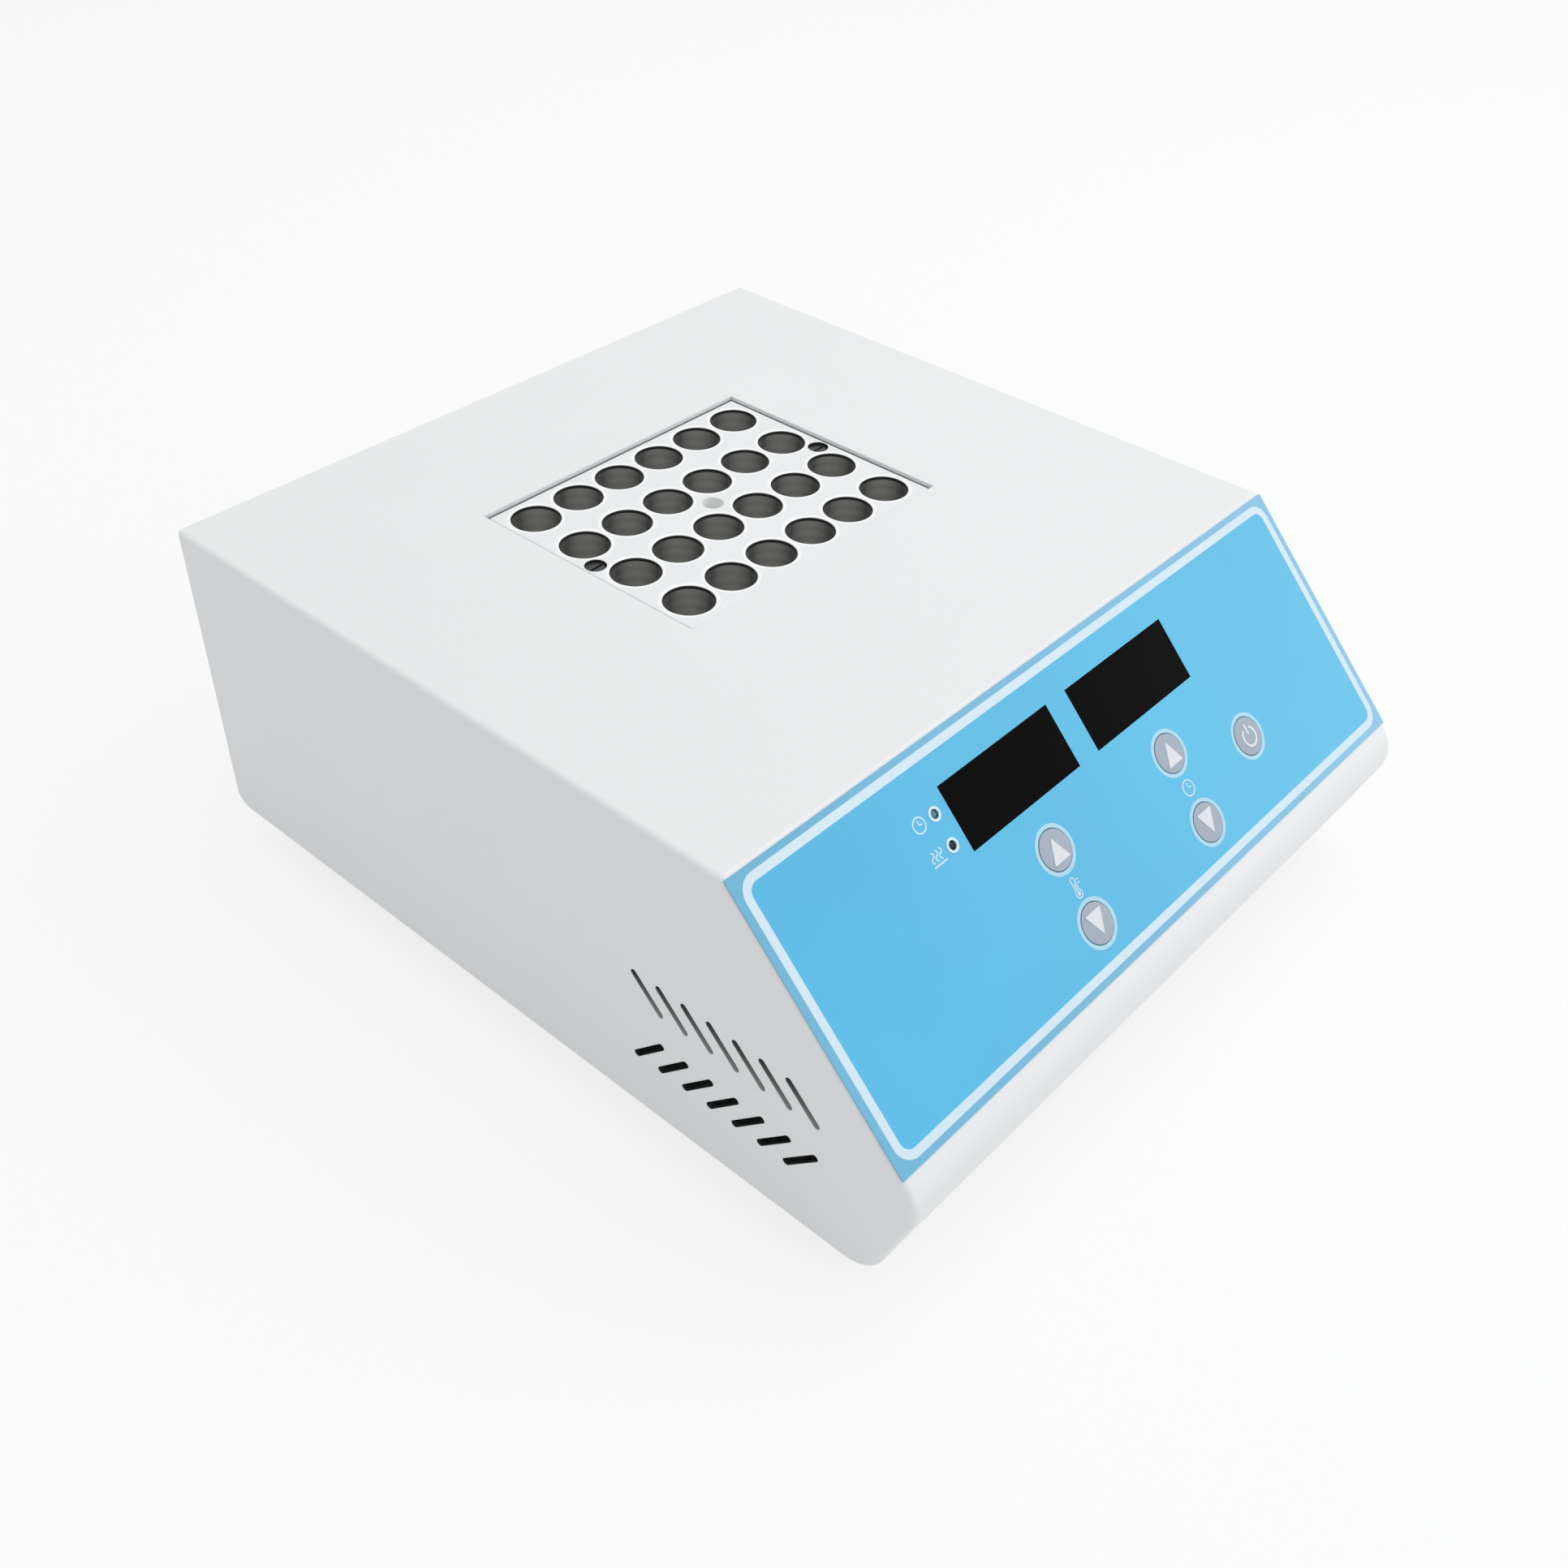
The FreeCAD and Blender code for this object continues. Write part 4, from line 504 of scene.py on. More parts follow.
@dataclass(frozen=True)
class PrintedFilm(Finish):
    """Satin polyester film, printed from behind: one blue inside the border line, another outside.

    Painted light turns both a little lighter from the left end to the right. The inner area is a
    rounded rectangle, measured across and down the sloping panel.
    """

    right_lit_colour: str = "#5abde3"
    margin_colour: str = "#69b2d4"
    margin_right_lit_colour: str = "#86c0e1"
    half_width_mm: float = 106.6
    top_mm: float = 3.4
    bottom_mm: float = 72.4
    corner_mm: float = 4.5
    blend_mm: float = 0.1
    origin_mm: Tuple[float, float, float] = (0.0, 0.0, 0.0)

    def paint(self, on: Surface) -> Optional[Source]:
        """Paints the inner field and the margin, split by the distance to a rounded rectangle.

        Args:
            on: The material's tree and coordinates.

        Returns:
            What carries the colour.
        """
        flat = add_node(on.tree, "ShaderNodeMapping", {
            "vector_type": "TEXTURE", "Location": tuple(v * MM for v in self.origin_mm),
            "Rotation": (math.radians(SLOPE_DEG), 0.0, 0.0), "Vector": on.place})
        half_height = (self.bottom_mm - self.top_mm) / 2
        middle = add_node(on.tree, VECTOR, {
            "operation": "ADD", 0: flat, 1: (0.0, (self.top_mm + half_height) * MM, 0.0)})
        folded = add_node(on.tree, VECTOR, {"operation": "ABSOLUTE", 0: middle})
        inner = ((self.half_width_mm - self.corner_mm) * MM, (half_height - self.corner_mm) * MM, 1.0)
        past = add_node(on.tree, VECTOR, {"operation": "SUBTRACT", 0: folded, 1: inner})
        out = add_node(on.tree, VECTOR, {"operation": "MAXIMUM", 0: past, 1: (0.0, 0.0, 0.0)})
        reach = add_node(on.tree, VECTOR, {"operation": "LENGTH", 0: out})
        margin = add_node(on.tree, RANGE, {
            "From Min": (self.corner_mm - self.blend_mm) * MM,
            "From Max": (self.corner_mm + self.blend_mm) * MM, "Value": reach})
        axes = add_node(on.tree, "ShaderNodeSeparateXYZ", {"Vector": on.place})
        # Painted light: both blues turn lighter towards the right end
        across = add_node(on.tree, RANGE, {
            "From Min": -self.half_width_mm * MM, "From Max": self.half_width_mm * MM,
            "Value": axes.outputs["X"]})
        inside = add_node(on.tree, MIX, {
            "data_type": "RGBA", 0: across, 6: linear(self.colour), 7: linear(self.right_lit_colour)})
        edge = add_node(on.tree, MIX, {
            "data_type": "RGBA", 0: across, 6: linear(self.margin_colour),
            7: linear(self.margin_right_lit_colour)})
        blue = add_node(on.tree, MIX, {"data_type": "RGBA", 0: margin, 6: inside, 7: edge})
        return self.drift(on, blue)


@dataclass(frozen=True)
class LampLens(Finish):
    """Tinted lamp lenses: those above a level have a lighter tint than those below it."""

    upper_colour: str = "#4f86a3"
    level_mm: float = 0.0

    def paint(self, on: Surface) -> Optional[Source]:
        """Paints the upper and the lower lens in their tints.

        Args:
            on: The material's tree and coordinates.

        Returns:
            What carries the colour.
        """
        axes = add_node(on.tree, "ShaderNodeSeparateXYZ", {"Vector": on.place})
        upper = add_node(on.tree, MATH, {
            "operation": "GREATER_THAN", 0: axes.outputs["Z"], 1: self.level_mm * MM})
        return add_node(on.tree, MIX, {
            "data_type": "RGBA", 0: upper, 6: linear(self.colour), 7: linear(self.upper_colour)})


@dataclass(frozen=True)
class Board(Finish):
    """Glass-fibre laminate under solder mask: fine copper tracks show as lighter lines."""

    track_mm: float = 2.5
    scatter: float = 0.8
    line_span: Tuple[float, float] = (0.3, 0.35)
    copper_gain: float = 1.5
    copper_lift: float = 0.01

    def paint(self, on: Surface) -> Optional[Source]:
        """Draws the tracks as the edges of a square cell pattern.

        Args:
            on: The material's tree and coordinates.

        Returns:
            What carries the colour.
        """
        cells = add_node(on.tree, "ShaderNodeTexVoronoi", {
            "distance": "MANHATTAN", "Scale": 1 / (self.track_mm * MM), "Randomness": self.scatter,
            "Vector": on.place})
        line = add_node(on.tree, RANGE, {
            "From Min": self.line_span[0], "From Max": self.line_span[1], "Value": cells})
        mask = linear(self.colour)
        copper = tuple(min(1.0, c * self.copper_gain + self.copper_lift) for c in mask[:3]) + (1.0,)
        return add_node(on.tree, MIX, {"data_type": "RGBA", 0: line, 6: mask, 7: copper})


BLOCK_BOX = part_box("tube_block")
BLOCK_TOP_MM = BLOCK_BOX[1][2] / MM
BLOCK_CENTRE_MM = tuple((BLOCK_BOX[0][i] + BLOCK_BOX[1][i]) / 2 / MM for i in (0, 1))
PANEL_ORIGIN_MM = (0.0, CAD_BOX[1][1] / MM - TOP_DEPTH_MM, CAD_BOX[1][2] / MM)

# Opaque pale screen ink, matt beside the film
INK = Finish("screen_ink_pale", "#d3e8f4", 0.5, mottle=(0.012, 30.0))
# The same ink, tinted, in the rings round the keys
RING_INK = replace(INK, name="screen_ink_tinted", colour="#afd9eb")
# White pad-printed ink on the key caps, a little glossier than the film's
KEY_INK = Finish("pad_print_white", "#dde1e9", 0.42, mottle=(0.012, 3.0))

# Each material slot of the record, and what it is made of
SLOT_FINISHES: Dict[str, Finish] = {
    # Polyester powder coat, baked on steel: a satin skin with a shallow orange peel, with painted shade and
    # painted light on the cut faces of the side slots
    "case_cover": SlottedCoat(
        "powder_coat_light_grey", "#eaebec", 0.40, grain=(2.2, 0.012), mottle=(0.008, 60.0),
        gloss_drift=0.03, side_mm=CAD_BOX[1][0] / MM),
    # The tray's coat is the same powder over folded sheet, painted darker as painted shade where it faces
    # down, and a little rougher
    "base_tray": Finish("powder_coat_tray_shaded", "#d5d7d9", 0.46, grain=(2.2, 0.014), mottle=(0.01, 50.0)),
    # Screen-printed polyester film, satin from its embossed face; painted light makes its blues lighter to
    # the right
    "overlay_film": PrintedFilm(
        "printed_film_blue", "#4cb6e3", 0.38, grain=(0.5, 0.002), mottle=(0.05, 80.0),
        origin_mm=PANEL_ORIGIN_MM),
    # Smoked acrylic pane: black in front of an unlit display, polished
    "window_smoke": Finish("smoked_acrylic", "#020203", 0.16, ior=1.49, specular=0.03, gloss_drift=0.02),
    # Satin moulded ABS key with a spark-eroded grain
    "key_plastic": Finish("key_abs_grey", "#a2adba", 0.46, grain=(0.35, 0.004), mottle=(0.012, 6.0)),
    # Tinted polycarbonate lamps, unlit
    "indicator_lens": LampLens(
        "lamp_polycarbonate", "#0d2c40", 0.2, ior=1.58, specular=0.2,
        level_mm=PANEL_ORIGIN_MM[2] - sum(LAMP_DOWN_MM) / 2 * math.sin(math.radians(SLOPE_DEG))),
    # Bead-blasted, clear-anodised aluminium with drilled bores, with painted highlights and painted shade
    # in and round the bores
    "block_aluminium": BoredAluminium(
        "anodised_block", "#e9ebec", 0.42, grain=(0.25, 0.002), mottle=(0.012, 25.0), top_mm=BLOCK_TOP_MM,
        centre_mm=BLOCK_CENTRE_MM),
    # Milled aluminium with a fine tool track along X
    "plate_aluminium": Finish(
        "milled_aluminium", "#c9cacc", 0.34, metallic=1.0, grain=(0.4, 0.004),
        grain_stretch=(0.05, 1.0, 1.0), mottle=(0.03, 20.0)),
    # Glass-filled phenolic, moulded dark grey
    "liner_resin": Finish("phenolic_dark", "#8c8e90", 0.55, grain=(0.6, 0.01), mottle=(0.03, 12.0)),
    # Zinc plate on steel, bright with a blue cast
    "bright_steel": Finish(
        "zinc_plate", "#c4c9cf", 0.26, metallic=1.0, grain=(0.8, 0.002), mottle=(0.04, 3.0)),
    # Dark steel grey on the slotted screws that hold the block
    "dark_steel": Finish(
        "dark_screw_steel", "#4a4a4c", 0.38, metallic=0.8, grain=(0.5, 0.003), mottle=(0.06, 3.0)),
    # Folded galvanised sheet with its spangle
    "pan_steel": Finish(
        "galvanised_sheet", "#b3b7ba", 0.38, metallic=1.0, grain=(5.0, 0.006), mottle=(0.08, 6.0)),
    # Silicone rubber mat, brick red and dull
    "mat_silicone": Finish("silicone_mat", "#a8452c", 0.62, grain=(1.2, 0.03), mottle=(0.03, 10.0)),
    # Ceramic fibre felt, chalky and fuzzy
    "pad_fibre": Finish("ceramic_fibre", "#ece9e0", 0.95, grain=(0.9, 0.25), mottle=(0.04, 5.0)),
    # Green solder mask over laminate
    "board_laminate": Board("solder_mask_green", "#1b6b3c", 0.32, grain=(0.8, 0.01)),
    # Moulded black epoxy and nylon of small electronic parts
    "module_black": Finish("moulded_black", "#1d1d1f", 0.5, grain=(0.4, 0.006), mottle=(0.05, 4.0)),
    # Natural nylon spacers, slightly waxy
    "spacer_nylon": Finish("natural_nylon", "#e2dfd3", 0.42, mottle=(0.02, 4.0), grain=(0.5, 0.003)),
    # Varnished lamination stack: fine layers along Y
    "core_steel": Finish(
        "varnished_laminations", "#3c3b3d", 0.4, metallic=0.6, grain=(0.5, 0.04),
        grain_stretch=(0.02, 1.0, 0.02), mottle=(0.06, 6.0)),
    # Gloss moulded relay case
    "relay_blue": Finish("relay_case_blue", "#2a4f9c", 0.25, grain=(0.4, 0.002), mottle=(0.02, 8.0)),
    # Printed shrink sleeve
    "can_sleeve": Finish("capacitor_sleeve", "#22223a", 0.3, mottle=(0.04, 4.0), grain=(0.6, 0.004)),
    # Moulded polyamide terminal block
    "terminal_green": Finish("terminal_polyamide", "#2e8a4a", 0.45, grain=(0.4, 0.004), mottle=(0.03, 5.0)),
    # Injection-moulded polyamide with a fine spark grain, for the inlet and the switch
    "inlet_black": Finish("inlet_polyamide", "#202022", 0.48, grain=(0.35, 0.008), mottle=(0.04, 6.0)),
    # Nickel plate on brass contacts
    "contact_brass": Finish(
        "nickel_plate", "#cfc8b8", 0.22, metallic=1.0, grain=(0.5, 0.001), mottle=(0.03, 2.0)),
    # Clear fuse glass between plated caps
    "fuse_glass": Finish("fuse_glass", "#c9cfcf", 0.08, ior=1.52, coat=0.2, mottle=(0.03, 3.0)),
    # Moulded rubber foot, matt with a dusty bloom
    "foot_rubber": Finish("foot_rubber", "#262627", 0.72, grain=(0.7, 0.02), mottle=(0.08, 5.0)),
    # Silicone and PVC sleeves of the leads
    "lead_red": Finish("lead_silicone_red", "#9c2a1e", 0.5, grain=(0.5, 0.004), mottle=(0.03, 6.0)),
    "lead_white": Finish("lead_ptfe_white", "#dcdcd6", 0.4, grain=(0.5, 0.004), mottle=(0.02, 6.0)),
    "lead_brown": Finish("lead_pvc_brown", "#5a3a26", 0.42, grain=(0.5, 0.004), mottle=(0.03, 6.0)),
    "ribbon_grey": Finish(
        "ribbon_pvc_grey", "#8f9296", 0.45, grain=(1.27, 0.15), grain_stretch=(1.0, 0.02, 0.02),
        mottle=(0.02, 6.0)),
}
# The cutout's can is plated like the screws
SLOT_FINISHES["cutout_steel"] = SLOT_FINISHES["bright_steel"]


class Key(Enum):
    """The panel's keys: the CAD body, and its place across and down the panel, in millimetres."""

    TEMPERATURE_UP = ("key_temperature_up", -24.9, 41.4)
    TEMPERATURE_DOWN = ("key_temperature_down", -24.9, 61.9)
    TIME_UP = ("key_time_up", 25.7, 41.4)
    TIME_DOWN = ("key_time_down", 25.7, 61.9)
    START = ("key_start", 55.4, 51.7)

    @property
    def body(self) -> str:
        """The CAD body that the key's cap rides on."""
        return self.value[0]

    @property
    def place(self) -> Tuple[float, float]:
        """The key's centre, across and up the panel, in millimetres."""
        return self.value[1], -self.value[2]


def add_object(name: str, mesh: bmesh.types.BMesh, material: bpy.types.Material) -> bpy.types.Object:
    """Turns a finished bmesh into an object of the scene.

    Args:
        name: The object's name.
        mesh: The shape, already in place in the part's frame. It is freed.
        material: The object's material.

    Returns:
        The new object.
    """
    data = bpy.data.meshes.new(name)
    mesh.to_mesh(data)
    mesh.free()
    data.materials.append(material)
    made = bpy.data.objects.new(name, data)
    bpy.context.scene.collection.objects.link(made)
    return made


@dataclass
class Ink:
    """Flat printed shapes on a plane, gathered in one mesh and then given a little thickness.

    Shapes are drawn in millimetres on the plane's own X and Y, and finish places them.
    """

    name: str
    mesh: bmesh.types.BMesh = field(default_factory=bmesh.new)

    def bar(self, x: float, y: float, length: float, width: float, turn_deg: float = 0.0) -> None:
        """Adds a straight bar.

        Args:
            x: The bar's centre across the plane.
            y: The centre up the plane.
            length: The length, along X before it is turned.
            width: The width.
            turn_deg: The turn about its centre.
        """
        place = Matrix.Translation((x, y, 0)) @ Matrix.Rotation(math.radians(turn_deg), 4, "Z")
        scale = Matrix.Diagonal((length / 2, width / 2, 1, 1))
        bmesh.ops.create_grid(self.mesh, x_segments=1, y_segments=1, size=1.0, matrix=place @ scale)

    def disc(self, x: float, y: float, radius: float, segments: int = 32) -> None:
        """Adds a filled disc."""
        bmesh.ops.create_circle(self.mesh, cap_ends=True, segments=segments, radius=radius,
                                matrix=Matrix.Translation((x, y, 0)))

    def arc(self, x: float, y: float, radius: float, width: float, start_deg: float = 0.0,
            sweep_deg: float = 360.0, steps: int = 48) -> None:
        """Adds a stroke along an arc, spun from a short radial edge.

        Args:
            x: The arc's centre across the plane.
            y: The arc's centre up the plane.
            radius: The radius of the stroke's middle line.
            width: The stroke's width.
            start_deg: The angle where it starts, from +X.
            sweep_deg: The angle that it covers.
            steps: The number of faces along it.
        """
        angle = math.radians(start_deg)
        ray = Vector((math.cos(angle), math.sin(angle), 0))
        centre = Vector((x, y, 0))
        ends = [self.mesh.verts.new(centre + ray * (radius + side * width / 2)) for side in (-1, 1)]
        edge = self.mesh.edges.new(ends)
        closed = abs(sweep_deg) >= 360
        bmesh.ops.spin(self.mesh, geom=ends + [edge], cent=centre, axis=(0, 0, 1),
                       angle=math.radians(sweep_deg), steps=steps, use_merge=closed)

    def arrow(self, x: float, y: float, half_base: float, half_height: float, up: bool,
              ease: float = 0.35) -> None:
        """Adds a triangle with slightly eased corners.

        An even triangle in a unit circle is 2 sin 60 wide and 1.5 high, and its middle lies a
        quarter above the circle's centre.

        Args:
            x: The triangle's middle across the plane.
            y: The middle up the plane.
            half_base: Half the length of its base.
            half_height: Half its height.
            up: Whether it points up the plane, or down.
            ease: How much is taken off its corners.
        """
        turn = 90 if up else -90
        shape = Matrix.Translation((x, y, 0)) @ Matrix.Diagonal(
            (half_base / math.sin(math.radians(60)), half_height / 0.75, 1, 1))
        lift = Matrix.Translation((0, -0.25 if up else 0.25, 0))
        made = bmesh.ops.create_circle(self.mesh, cap_ends=True, segments=3, radius=1.0,
                                       matrix=shape @ lift @ Matrix.Rotation(math.radians(turn), 4, "Z")
                                       @ Matrix.Rotation(math.radians(-90), 4, "Z"))
        bmesh.ops.bevel(self.mesh, geom=made["verts"], affect="VERTICES", offset=ease, segments=3,
                        profile=0.5, material=-1)

    def frame(self, x: float, y: float, width: float, height: float, corner: float, line: float) -> None:
        """Adds the outline of a rounded rectangle: a bevelled sheet, inset, with its middle removed.

        Args:
            x: The centre across the plane.
            y: The centre up the plane.
            width: The outer width.
            height: The outer height.
            corner: The outer corner radius.
            line: The line's width.
        """
        shape = Matrix.Translation((x, y, 0)) @ Matrix.Diagonal((width / 2, height / 2, 1, 1))
        made = bmesh.ops.create_grid(self.mesh, x_segments=1, y_segments=1, size=1.0, matrix=shape)
        eased = bmesh.ops.bevel(self.mesh, geom=made["verts"], affect="VERTICES", offset=corner,
                                offset_type="OFFSET", segments=10, profile=0.5, material=-1)
        sheet = max(eased["verts"][0].link_faces, key=lambda face: face.calc_area())
        bmesh.ops.inset_region(self.mesh, faces=[sheet], thickness=line, use_boundary=True,
                               use_even_offset=True)
        bmesh.ops.delete(self.mesh, geom=[sheet], context="FACES")

    def finish(self, place: Matrix, body: str, finish: Finish, thickness_mm: float) -> bpy.types.Object:
        """Thickens the shapes, puts them in place and makes them one piece.

        Args:
            place: The plane's place in the part's frame, in metres.
            body: The CAD body that the piece rides on.
            finish: The piece's finish.
            thickness_mm: How thick the ink lies.

        Returns:
            The new object.
        """
        mesh = self.mesh
        flat = list(mesh.faces)
        for face in flat:
            face.normal_update()
            if face.normal.z < 0:
                face.normal_flip()
        grown = bmesh.ops.extrude_face_region(mesh, geom=flat, use_keep_orig=True)
        raised = [item for item in grown["geom"] if isinstance(item, bmesh.types.BMVert)]
        bmesh.ops.translate(mesh, verts=raised, vec=(0, 0, thickness_mm))
        bmesh.ops.reverse_faces(mesh, faces=flat)
        bmesh.ops.transform(mesh, matrix=place @ Matrix.Diagonal((MM, MM, MM, 1)), verts=mesh.verts)
        piece = add_object(self.name, mesh, finish.build())
        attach(piece, body)
        return piece


@dataclass
class SubAssembly:
    """A group of CAD nodes that are dressed together, and the pieces made for them."""

    name: str
    nodes: Sequence[str]
    pieces: List[bpy.types.Object] = field(default_factory=list)

    def dress(self) -> None:
        """Gives each CAD node the finish of its material slot."""
        slots = {part["node"]: part["material_slot"] for part in frame["record"]["subparts"]}
        for node in self.nodes:
            if node not in frame["nodes"]:
                continue
            data = frame["nodes"][node].data
            data.materials.clear()
            data.materials.append(SLOT_FINISHES[slots[node]].build())

    def build(self) -> None:
        """Makes the sub-assembly's own pieces. A plain one has none."""

    def report(self) -> None:
        """Logs the nodes and the pieces of the sub-assembly."""
        log.info("%s: %d nodes dressed", self.name, len(self.nodes))
        for piece in self.pieces:
            log.info("%s: %s, %d faces", self.name, piece.name, len(piece.data.polygons))


@dataclass
class ControlPanel(SubAssembly):
    """The printed film on the slope, with its border, pictograms, lamps, windows and keys."""

    ink_mm: float = 0.04
    border_half_width: float = 107.6
    border_top: float = 2.4
    border_bottom: float = 73.5
    border_line: float = 2.2
    border_corner: float = 5.0
    key_ring_radius: float = 5.98
    key_ring_width: float = 1.04
    key_crown_mm: float = 0.9
    arrow_half_base: float = 3.05
    arrow_half_height: float = 3.15
    bezel_radius: float = 1.52
    bezel_width: float = 0.66
    bezel_mm: float = 0.2
    key_ink_mm: float = 0.26
    key_sunk_mm: float = 0.2
    lamp_symbols_across: float = -57.2
    timer_radius: float = 1.9
    display_symbols_down: float = 51.65
    temperature_across: float = -25.2
    time_across: float = 25.7
    time_radius: float = 2.1

    def plane(self, out_mm: float) -> Matrix:
        """Gives a plane on the panel: X across, Y up, Z out.

        Args:
            out_mm: The plane's height above the bare slope.

        Returns:
            Its place in the part's frame.
        """
        origin = Matrix.Translation(Vector(PANEL_ORIGIN_MM) * MM)
        tilt = Matrix.Rotation(math.radians(SLOPE_DEG), 4, "X")
        return origin @ tilt @ Matrix.Translation((0, 0, out_mm * MM))

    def build(self) -> None:
        """Makes the printed pieces on the film and on the keys."""
        film = self.plane(FILM_MM)
        across, down = self.lamp_symbols_across, self.display_symbols_down
        keys = self.rings("key_rings", [key.place for key in Key], self.key_ring_radius,
                          self.key_ring_width, 64)
        lamps = self.rings("lamp_bezels", [(LAMP_ACROSS_MM, -down) for down in LAMP_DOWN_MM],
                           self.bezel_radius, self.bezel_width, 48)
        printed = (
            (self.border(), INK, self.ink_mm),
            (keys, RING_INK, self.ink_mm),
            (lamps, INK, self.bezel_mm),
            (self.clock("timer_symbol", across, -LAMP_DOWN_MM[0], self.timer_radius), INK, self.ink_mm),
            (self.heat(across, -LAMP_DOWN_MM[1]), INK, self.ink_mm),
            (self.thermometer(self.temperature_across, -down), INK, self.ink_mm),
            (self.clock("time_symbol", self.time_across, -down, self.time_radius), INK, self.ink_mm),
        )
        for shape, finish, thickness_mm in printed:
            self.pieces.append(shape.finish(film, BODY, finish, thickness_mm))
        crown = self.plane(self.key_crown_mm - self.key_sunk_mm)
        for key in Key:
            shape = self.start_mark(key) if key is Key.START else self.arrow(key)
            self.pieces.append(shape.finish(crown, key.body, KEY_INK, self.key_ink_mm))

    def border(self) -> Ink:
        """Draws the pale line round the film, a little inside its edges.

        Returns:
            The drawn line.
        """
        ink = Ink("film_border")
        height = self.border_bottom - self.border_top
        ink.frame(0, -(self.border_top + self.border_bottom) / 2, 2 * self.border_half_width, height,
                  self.border_corner, self.border_line)
        return ink

    def rings(self, name: str, places: Iterable[Tuple[float, float]], radius: float, width: float,
              steps: int) -> Ink:
        """Draws a row of rings.

        Args:
            name: The piece's name.
            places: The rings' middles, across and up the panel.
            radius: The radius of the line's middle.
            width: The line's width.
            steps: The number of faces along each.

        Returns:
            The drawn rings.
        """
        ink = Ink(name)
        for x, y in places:
            ink.arc(x, y, radius, width, steps=steps)
        return ink

    def arrow(self, key: Key) -> Ink:
        """Draws a key's triangle: up for more, down for less.

        Args:
            key: The key that the shape lies on.

        Returns:
            The drawn shape.
        """
        ink = Ink(key.body + "_arrow")
        up = key in (Key.TEMPERATURE_UP, Key.TIME_UP)
        ink.arrow(*key.place, self.arrow_half_base, self.arrow_half_height, up)
        return ink

    def start_mark(self, key: Key) -> Ink:
        """Draws the start and stop mark: a ring broken at the top, with a bar in the gap.

        Args:
            key: The key that the shape lies on.

        Returns:
            The drawn shape.
        """
        ink = Ink(key.body + "_mark")
        x, y = key.place
        ink.arc(x, y - 0.2, radius=2.6, width=0.7, start_deg=120, sweep_deg=300, steps=40)
        ink.bar(x, y + 1.9, length=2.9, width=0.7, turn_deg=90)
        return ink

    def clock(self, name: str, x: float, y: float, radius: float) -> Ink:
        """Draws a clock face: a ring and two hands.

        Args:
            name: The piece's name.
            x: The symbol's middle across the panel.
            y: The middle up the panel.
            radius: The ring's radius.

        Returns:
            The drawn symbol.
        """
        ink = Ink(name)
        ink.arc(x, y, radius, width=0.36, steps=40)
        ink.bar(x, y + radius * 0.32, length=radius * 0.72, width=0.32, turn_deg=90)
        ink.bar(x + radius * 0.24, y, length=radius * 0.56, width=0.32)
        return ink

    def heat(self, x: float, y: float) -> Ink:
        """Draws three rising waves over a bar.

        Args:
            x: The symbol's middle across the panel.
            y: The middle up the panel.

        Returns:
            The drawn symbol.
        """
        ink = Ink("heating_symbol")
        bend = 0.62
        for step in (-1, 0, 1):
            wave_x = x + step * 1.35
            for rise, start_deg in ((0.95, -90), (-0.29, 90)):
                ink.arc(wave_x, y + rise, bend, width=0.34, start_deg=start_deg, sweep_deg=180, steps=14)
        ink.bar(x, y - 1.75, length=4.6, width=0.38)
        return ink

    def thermometer(self, x: float, y: float) -> Ink:
        """Draws a thermometer: a stem with a round top over a bulb, and two scale marks.

        Args:
            x: The symbol's middle across the panel.
            y: The middle up the panel.

        Returns:
            The drawn symbol.
        """
        ink = Ink("temperature_symbol")
        for side in (-1, 1):
            ink.bar(x + side * 0.62, y + 0.45, length=2.9, width=0.3, turn_deg=90)
        ink.arc(x, y + 1.9, radius=0.62, width=0.3, sweep_deg=180, steps=16)
        ink.arc(x, y - 1.75, radius=1.08, width=0.3, start_deg=125, sweep_deg=290, steps=30)
        ink.disc(x, y - 1.75, radius=0.55)
        ink.bar(x, y - 0.3, length=2.4, width=0.34, turn_deg=90)
        for rise in (0.5, 1.4):
            ink.bar(x + 1.55, y + rise, length=0.9, width=0.28)
        return ink


@dataclass
class RearEntry(SubAssembly):
    """The mains inlet with its fuse drawer, and the rocker switch beside it."""

    across_mm: float = 12.0
    off_face: Tuple[float, float, float] = (123.22, 49.8, -0.5)
    on_face: Tuple[float, float, float] = (124.28, 42.89, 18.5)
    sunk_mm: float = 0.06
    mark_mm: float = 0.1

    def face(self, back: float, rise: float, lean_deg: float) -> Matrix:
        """Gives the plane of one half of the rocker, seen from the back: Y up, Z out of the wall.

        Args:
            back: How far back the face's middle lies, in millimetres.
            rise: The middle's height, in millimetres.
            lean_deg: How far the face leans upwards, in degrees.

        Returns:
            The plane, sunk a little so that the mark is bonded to the face.
        """
        middle = Matrix.Translation(Vector((self.across_mm, back, rise)) * MM)
        lean = Matrix.Rotation(math.radians(lean_deg), 4, "X")
        turned = Matrix.Rotation(math.pi, 4, "Z") @ Matrix.Rotation(math.pi / 2, 4, "X")
        return middle @ lean @ turned @ Matrix.Translation((0, 0, -self.sunk_mm * MM))

    def build(self) -> None:
        """Moulds the off ring and the on bar into the two halves of the rocker."""
        ring, bar = Ink("rocker_off_mark"), Ink("rocker_on_mark")
        ring.arc(0, 0, radius=1.5, width=0.45, steps=36)
        bar.bar(0, 0, length=3.0, width=0.5, turn_deg=90)
        for mark, face in ((ring, self.off_face), (bar, self.on_face)):
            self.pieces.append(mark.finish(self.face(*face), "switch_rocker", KEY_INK, self.mark_mm))


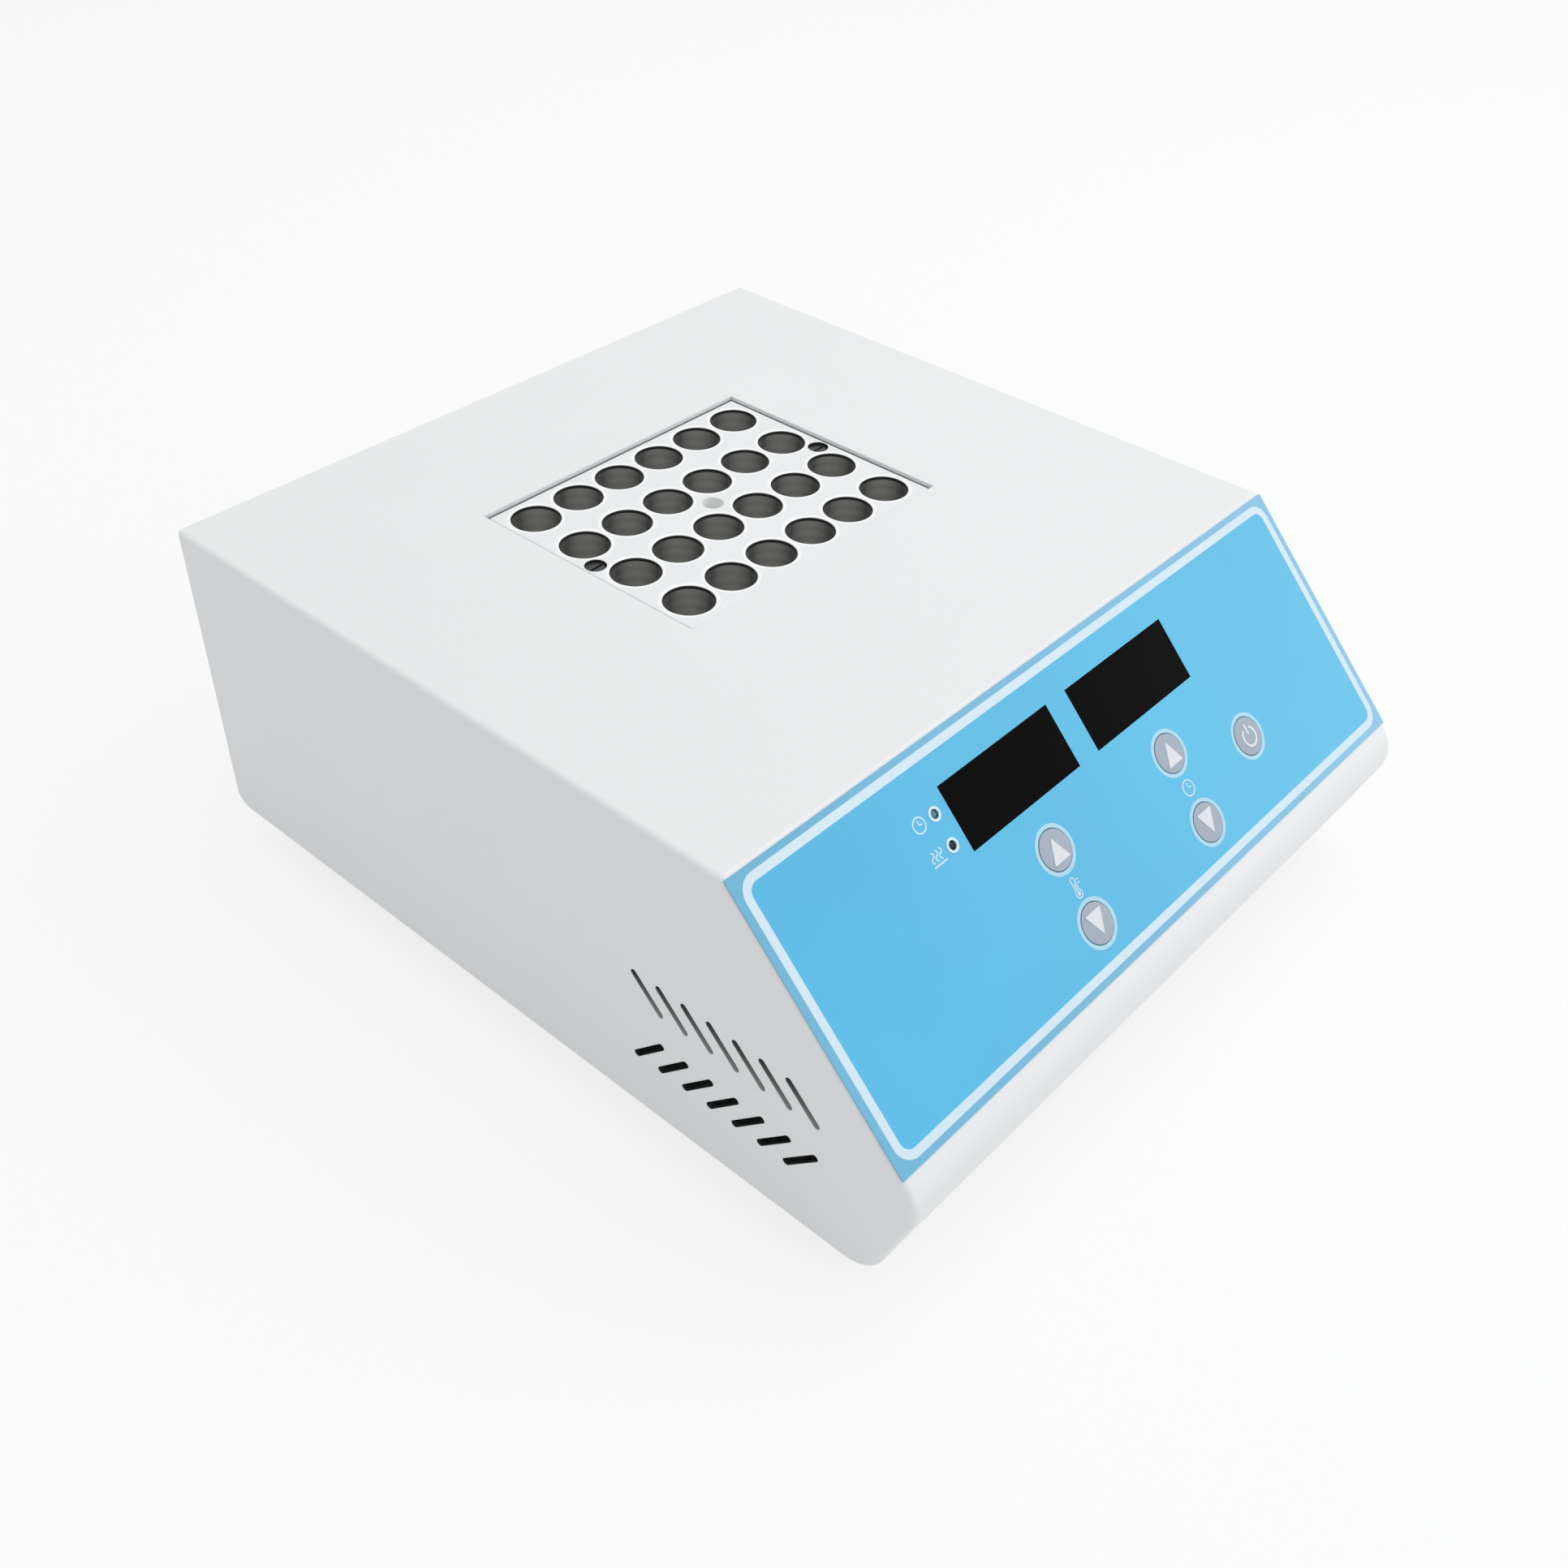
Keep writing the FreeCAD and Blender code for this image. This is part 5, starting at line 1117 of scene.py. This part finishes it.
@dataclass(frozen=True)
class SoftBox:
    """A square studio lamp: where it stands, what it faces, its side and its power."""

    name: str
    place: Tuple[float, float, float]
    side: float
    watts: float

    def build(self, target: Vector) -> None:
        """Hangs the lamp.

        Args:
            target: The point that it faces, in metres.
        """
        lamp = bpy.data.lights.new(self.name, "AREA")
        lamp.shape = "SQUARE"
        lamp.size = self.side
        lamp.energy = self.watts
        holder = bpy.data.objects.new(self.name, lamp)
        holder.location = self.place
        holder.rotation_euler = (target - Vector(self.place)).to_track_quat("-Z", "Y").to_euler()
        bpy.context.scene.collection.objects.link(holder)


@dataclass
class Studio:
    """The pale floor, the soft lamps, the world's light and the camera of the photograph."""

    camera_mm: Tuple[float, float, float] = (-299.18, -249.63, 342.56)
    heading_deg: float = 49.33
    dip_deg: float = 39.55
    roll_deg: float = 1.69
    lens_mm: float = 39.45
    sensor_mm: float = 36.0
    clip_m: float = 0.01
    floor_side: float = 12.0
    floor_colour: str = "#f2f3f4"
    world_colour: str = "#fdfefe"
    world_strength: float = 0.69
    camera_white: float = 1.0
    floor_white: float = 0.78
    boxes: Tuple[SoftBox, ...] = (
        SoftBox("top_softbox", (0.5, -0.35, 1.45), 1.3, 8.2),
        SoftBox("front_softbox", (1.0, -1.25, 0.8), 1.2, 3.0),
    )

    def build(self) -> None:
        """Sets up everything round the object."""
        self.floor()
        self.world()
        target = (Vector(CAD_BOX[0]) + Vector(CAD_BOX[1])) / 2
        for box in self.boxes:
            box.build(target)
        self.camera()
        bpy.context.scene.view_settings.view_transform = "Standard"

    def floor(self) -> None:
        """Lays the floor, nearly white to the camera and in reflections, where it keeps the shadow."""
        mesh = bmesh.new()
        bmesh.ops.create_grid(mesh, x_segments=1, y_segments=1, size=self.floor_side / 2)
        material = bpy.data.materials.new("studio_floor")
        material.use_nodes = True
        tree = material.node_tree
        tree.nodes.clear()
        matt = add_node(tree, "ShaderNodeBsdfDiffuse", {"Color": linear(self.floor_colour)})
        white = add_node(tree, "ShaderNodeEmission", {"Color": (1, 1, 1, 1), "Strength": self.camera_white})
        seen = self.seen_directly(tree)
        share = add_node(tree, MATH, {"operation": "MULTIPLY", 0: seen, 1: self.floor_white})
        mix = add_node(tree, "ShaderNodeMixShader", {0: share, 1: matt, 2: white})
        add_node(tree, "ShaderNodeOutputMaterial", {"Surface": mix})
        add_object("floor", mesh, material)

    def seen_directly(self, tree: Tree) -> Source:
        """Tells rays from the camera and from shiny or clear surfaces from the rest.

        Args:
            tree: The node tree of the floor or of the world.

        Returns:
            One for those rays, and zero for the rest.
        """
        path = add_node(tree, "ShaderNodeLightPath")
        shiny = add_node(tree, MATH, {
            "operation": "MAXIMUM", 0: path.outputs["Is Glossy Ray"],
            1: path.outputs["Is Transmission Ray"]})
        return add_node(tree, MATH, {"operation": "MAXIMUM", 0: path.outputs["Is Camera Ray"], 1: shiny})

    def world(self) -> None:
        """Lights the scene evenly from all round, and shows white behind it."""
        world = bpy.data.worlds.new("studio_world")
        bpy.context.scene.world = world
        world.use_nodes = True
        tree = world.node_tree
        tree.nodes.clear()
        lit = add_node(tree, "ShaderNodeBackground", {
            "Color": linear(self.world_colour), "Strength": self.world_strength})
        white = add_node(tree, "ShaderNodeBackground", {
            "Color": (1, 1, 1, 1), "Strength": self.camera_white})
        mix = add_node(tree, "ShaderNodeMixShader", {0: self.seen_directly(tree), 1: lit, 2: white})
        add_node(tree, "ShaderNodeOutputWorld", {"Surface": mix})

    def camera(self) -> None:
        """Places the camera where the photograph was taken from."""
        data = bpy.data.cameras.new("photo_camera")
        data.lens = self.lens_mm
        data.sensor_width = self.sensor_mm
        data.clip_start = self.clip_m
        camera = bpy.data.objects.new("photo_camera", data)
        heading = Matrix.Rotation(math.radians(-self.heading_deg), 4, "Z")
        dip = Matrix.Rotation(math.radians(90 - self.dip_deg), 4, "X")
        roll = Matrix.Rotation(math.radians(self.roll_deg), 4, "Z")
        camera.matrix_world = Matrix.Translation(Vector(self.camera_mm) * MM) @ heading @ dip @ roll
        bpy.context.scene.collection.objects.link(camera)
        bpy.context.scene.camera = camera


def sub_assemblies() -> List[SubAssembly]:
    """Lists the object's sub-assemblies in the order they are dressed.

    Returns:
        The sub-assemblies, with their nodes.
    """
    keys = [key.body for key in Key]
    return [
        SubAssembly("casing", [
            "case_cover", "base_tray", "cover_screws", "foot_screws", "foot_nuts", "foot_front_left",
            "foot_front_right", "foot_rear_left", "foot_rear_right"]),
        ControlPanel("panel", [
            "front_overlay", "temperature_window", "time_window", "temperature_display", "time_display",
            "timer_indicator", "heating_indicator", *keys]),
        SubAssembly("block", ["tube_block", "block_screws", "well_liner"]),
        SubAssembly("heater", [
            "heater_plate", "heater_mat", "insulation_pad", "heater_pan", "pan_spacers", "pan_screws",
            "temperature_probe", "thermal_cutout", "cutout_screws"]),
        SubAssembly("electronics", [
            "control_board", "control_board_spacers", "control_board_screws", "key_switches",
            "control_chips", "ribbon_headers", "ribbon_cable", "power_board", "power_board_spacers",
            "power_board_screws", "transformer", "relay", "capacitors", "triac_heatsink", "triac",
            "terminal_block", "mains_leads", "earth_stud", "heater_leads", "probe_lead"]),
        RearEntry("rear", [
            "inlet_housing", "inlet_pins", "inlet_screws", "fuse_drawer", "fuse", "switch_housing",
            "switch_rocker"]),
    ]


def main() -> None:
    """Dresses the object and sets up the studio."""
    logging.basicConfig(level=logging.INFO, format="%(name)s %(message)s")
    for group in sub_assemblies():
        group.dress()
        group.build()
        group.report()
    Studio().build()


if __name__ == "__main__":
    main()
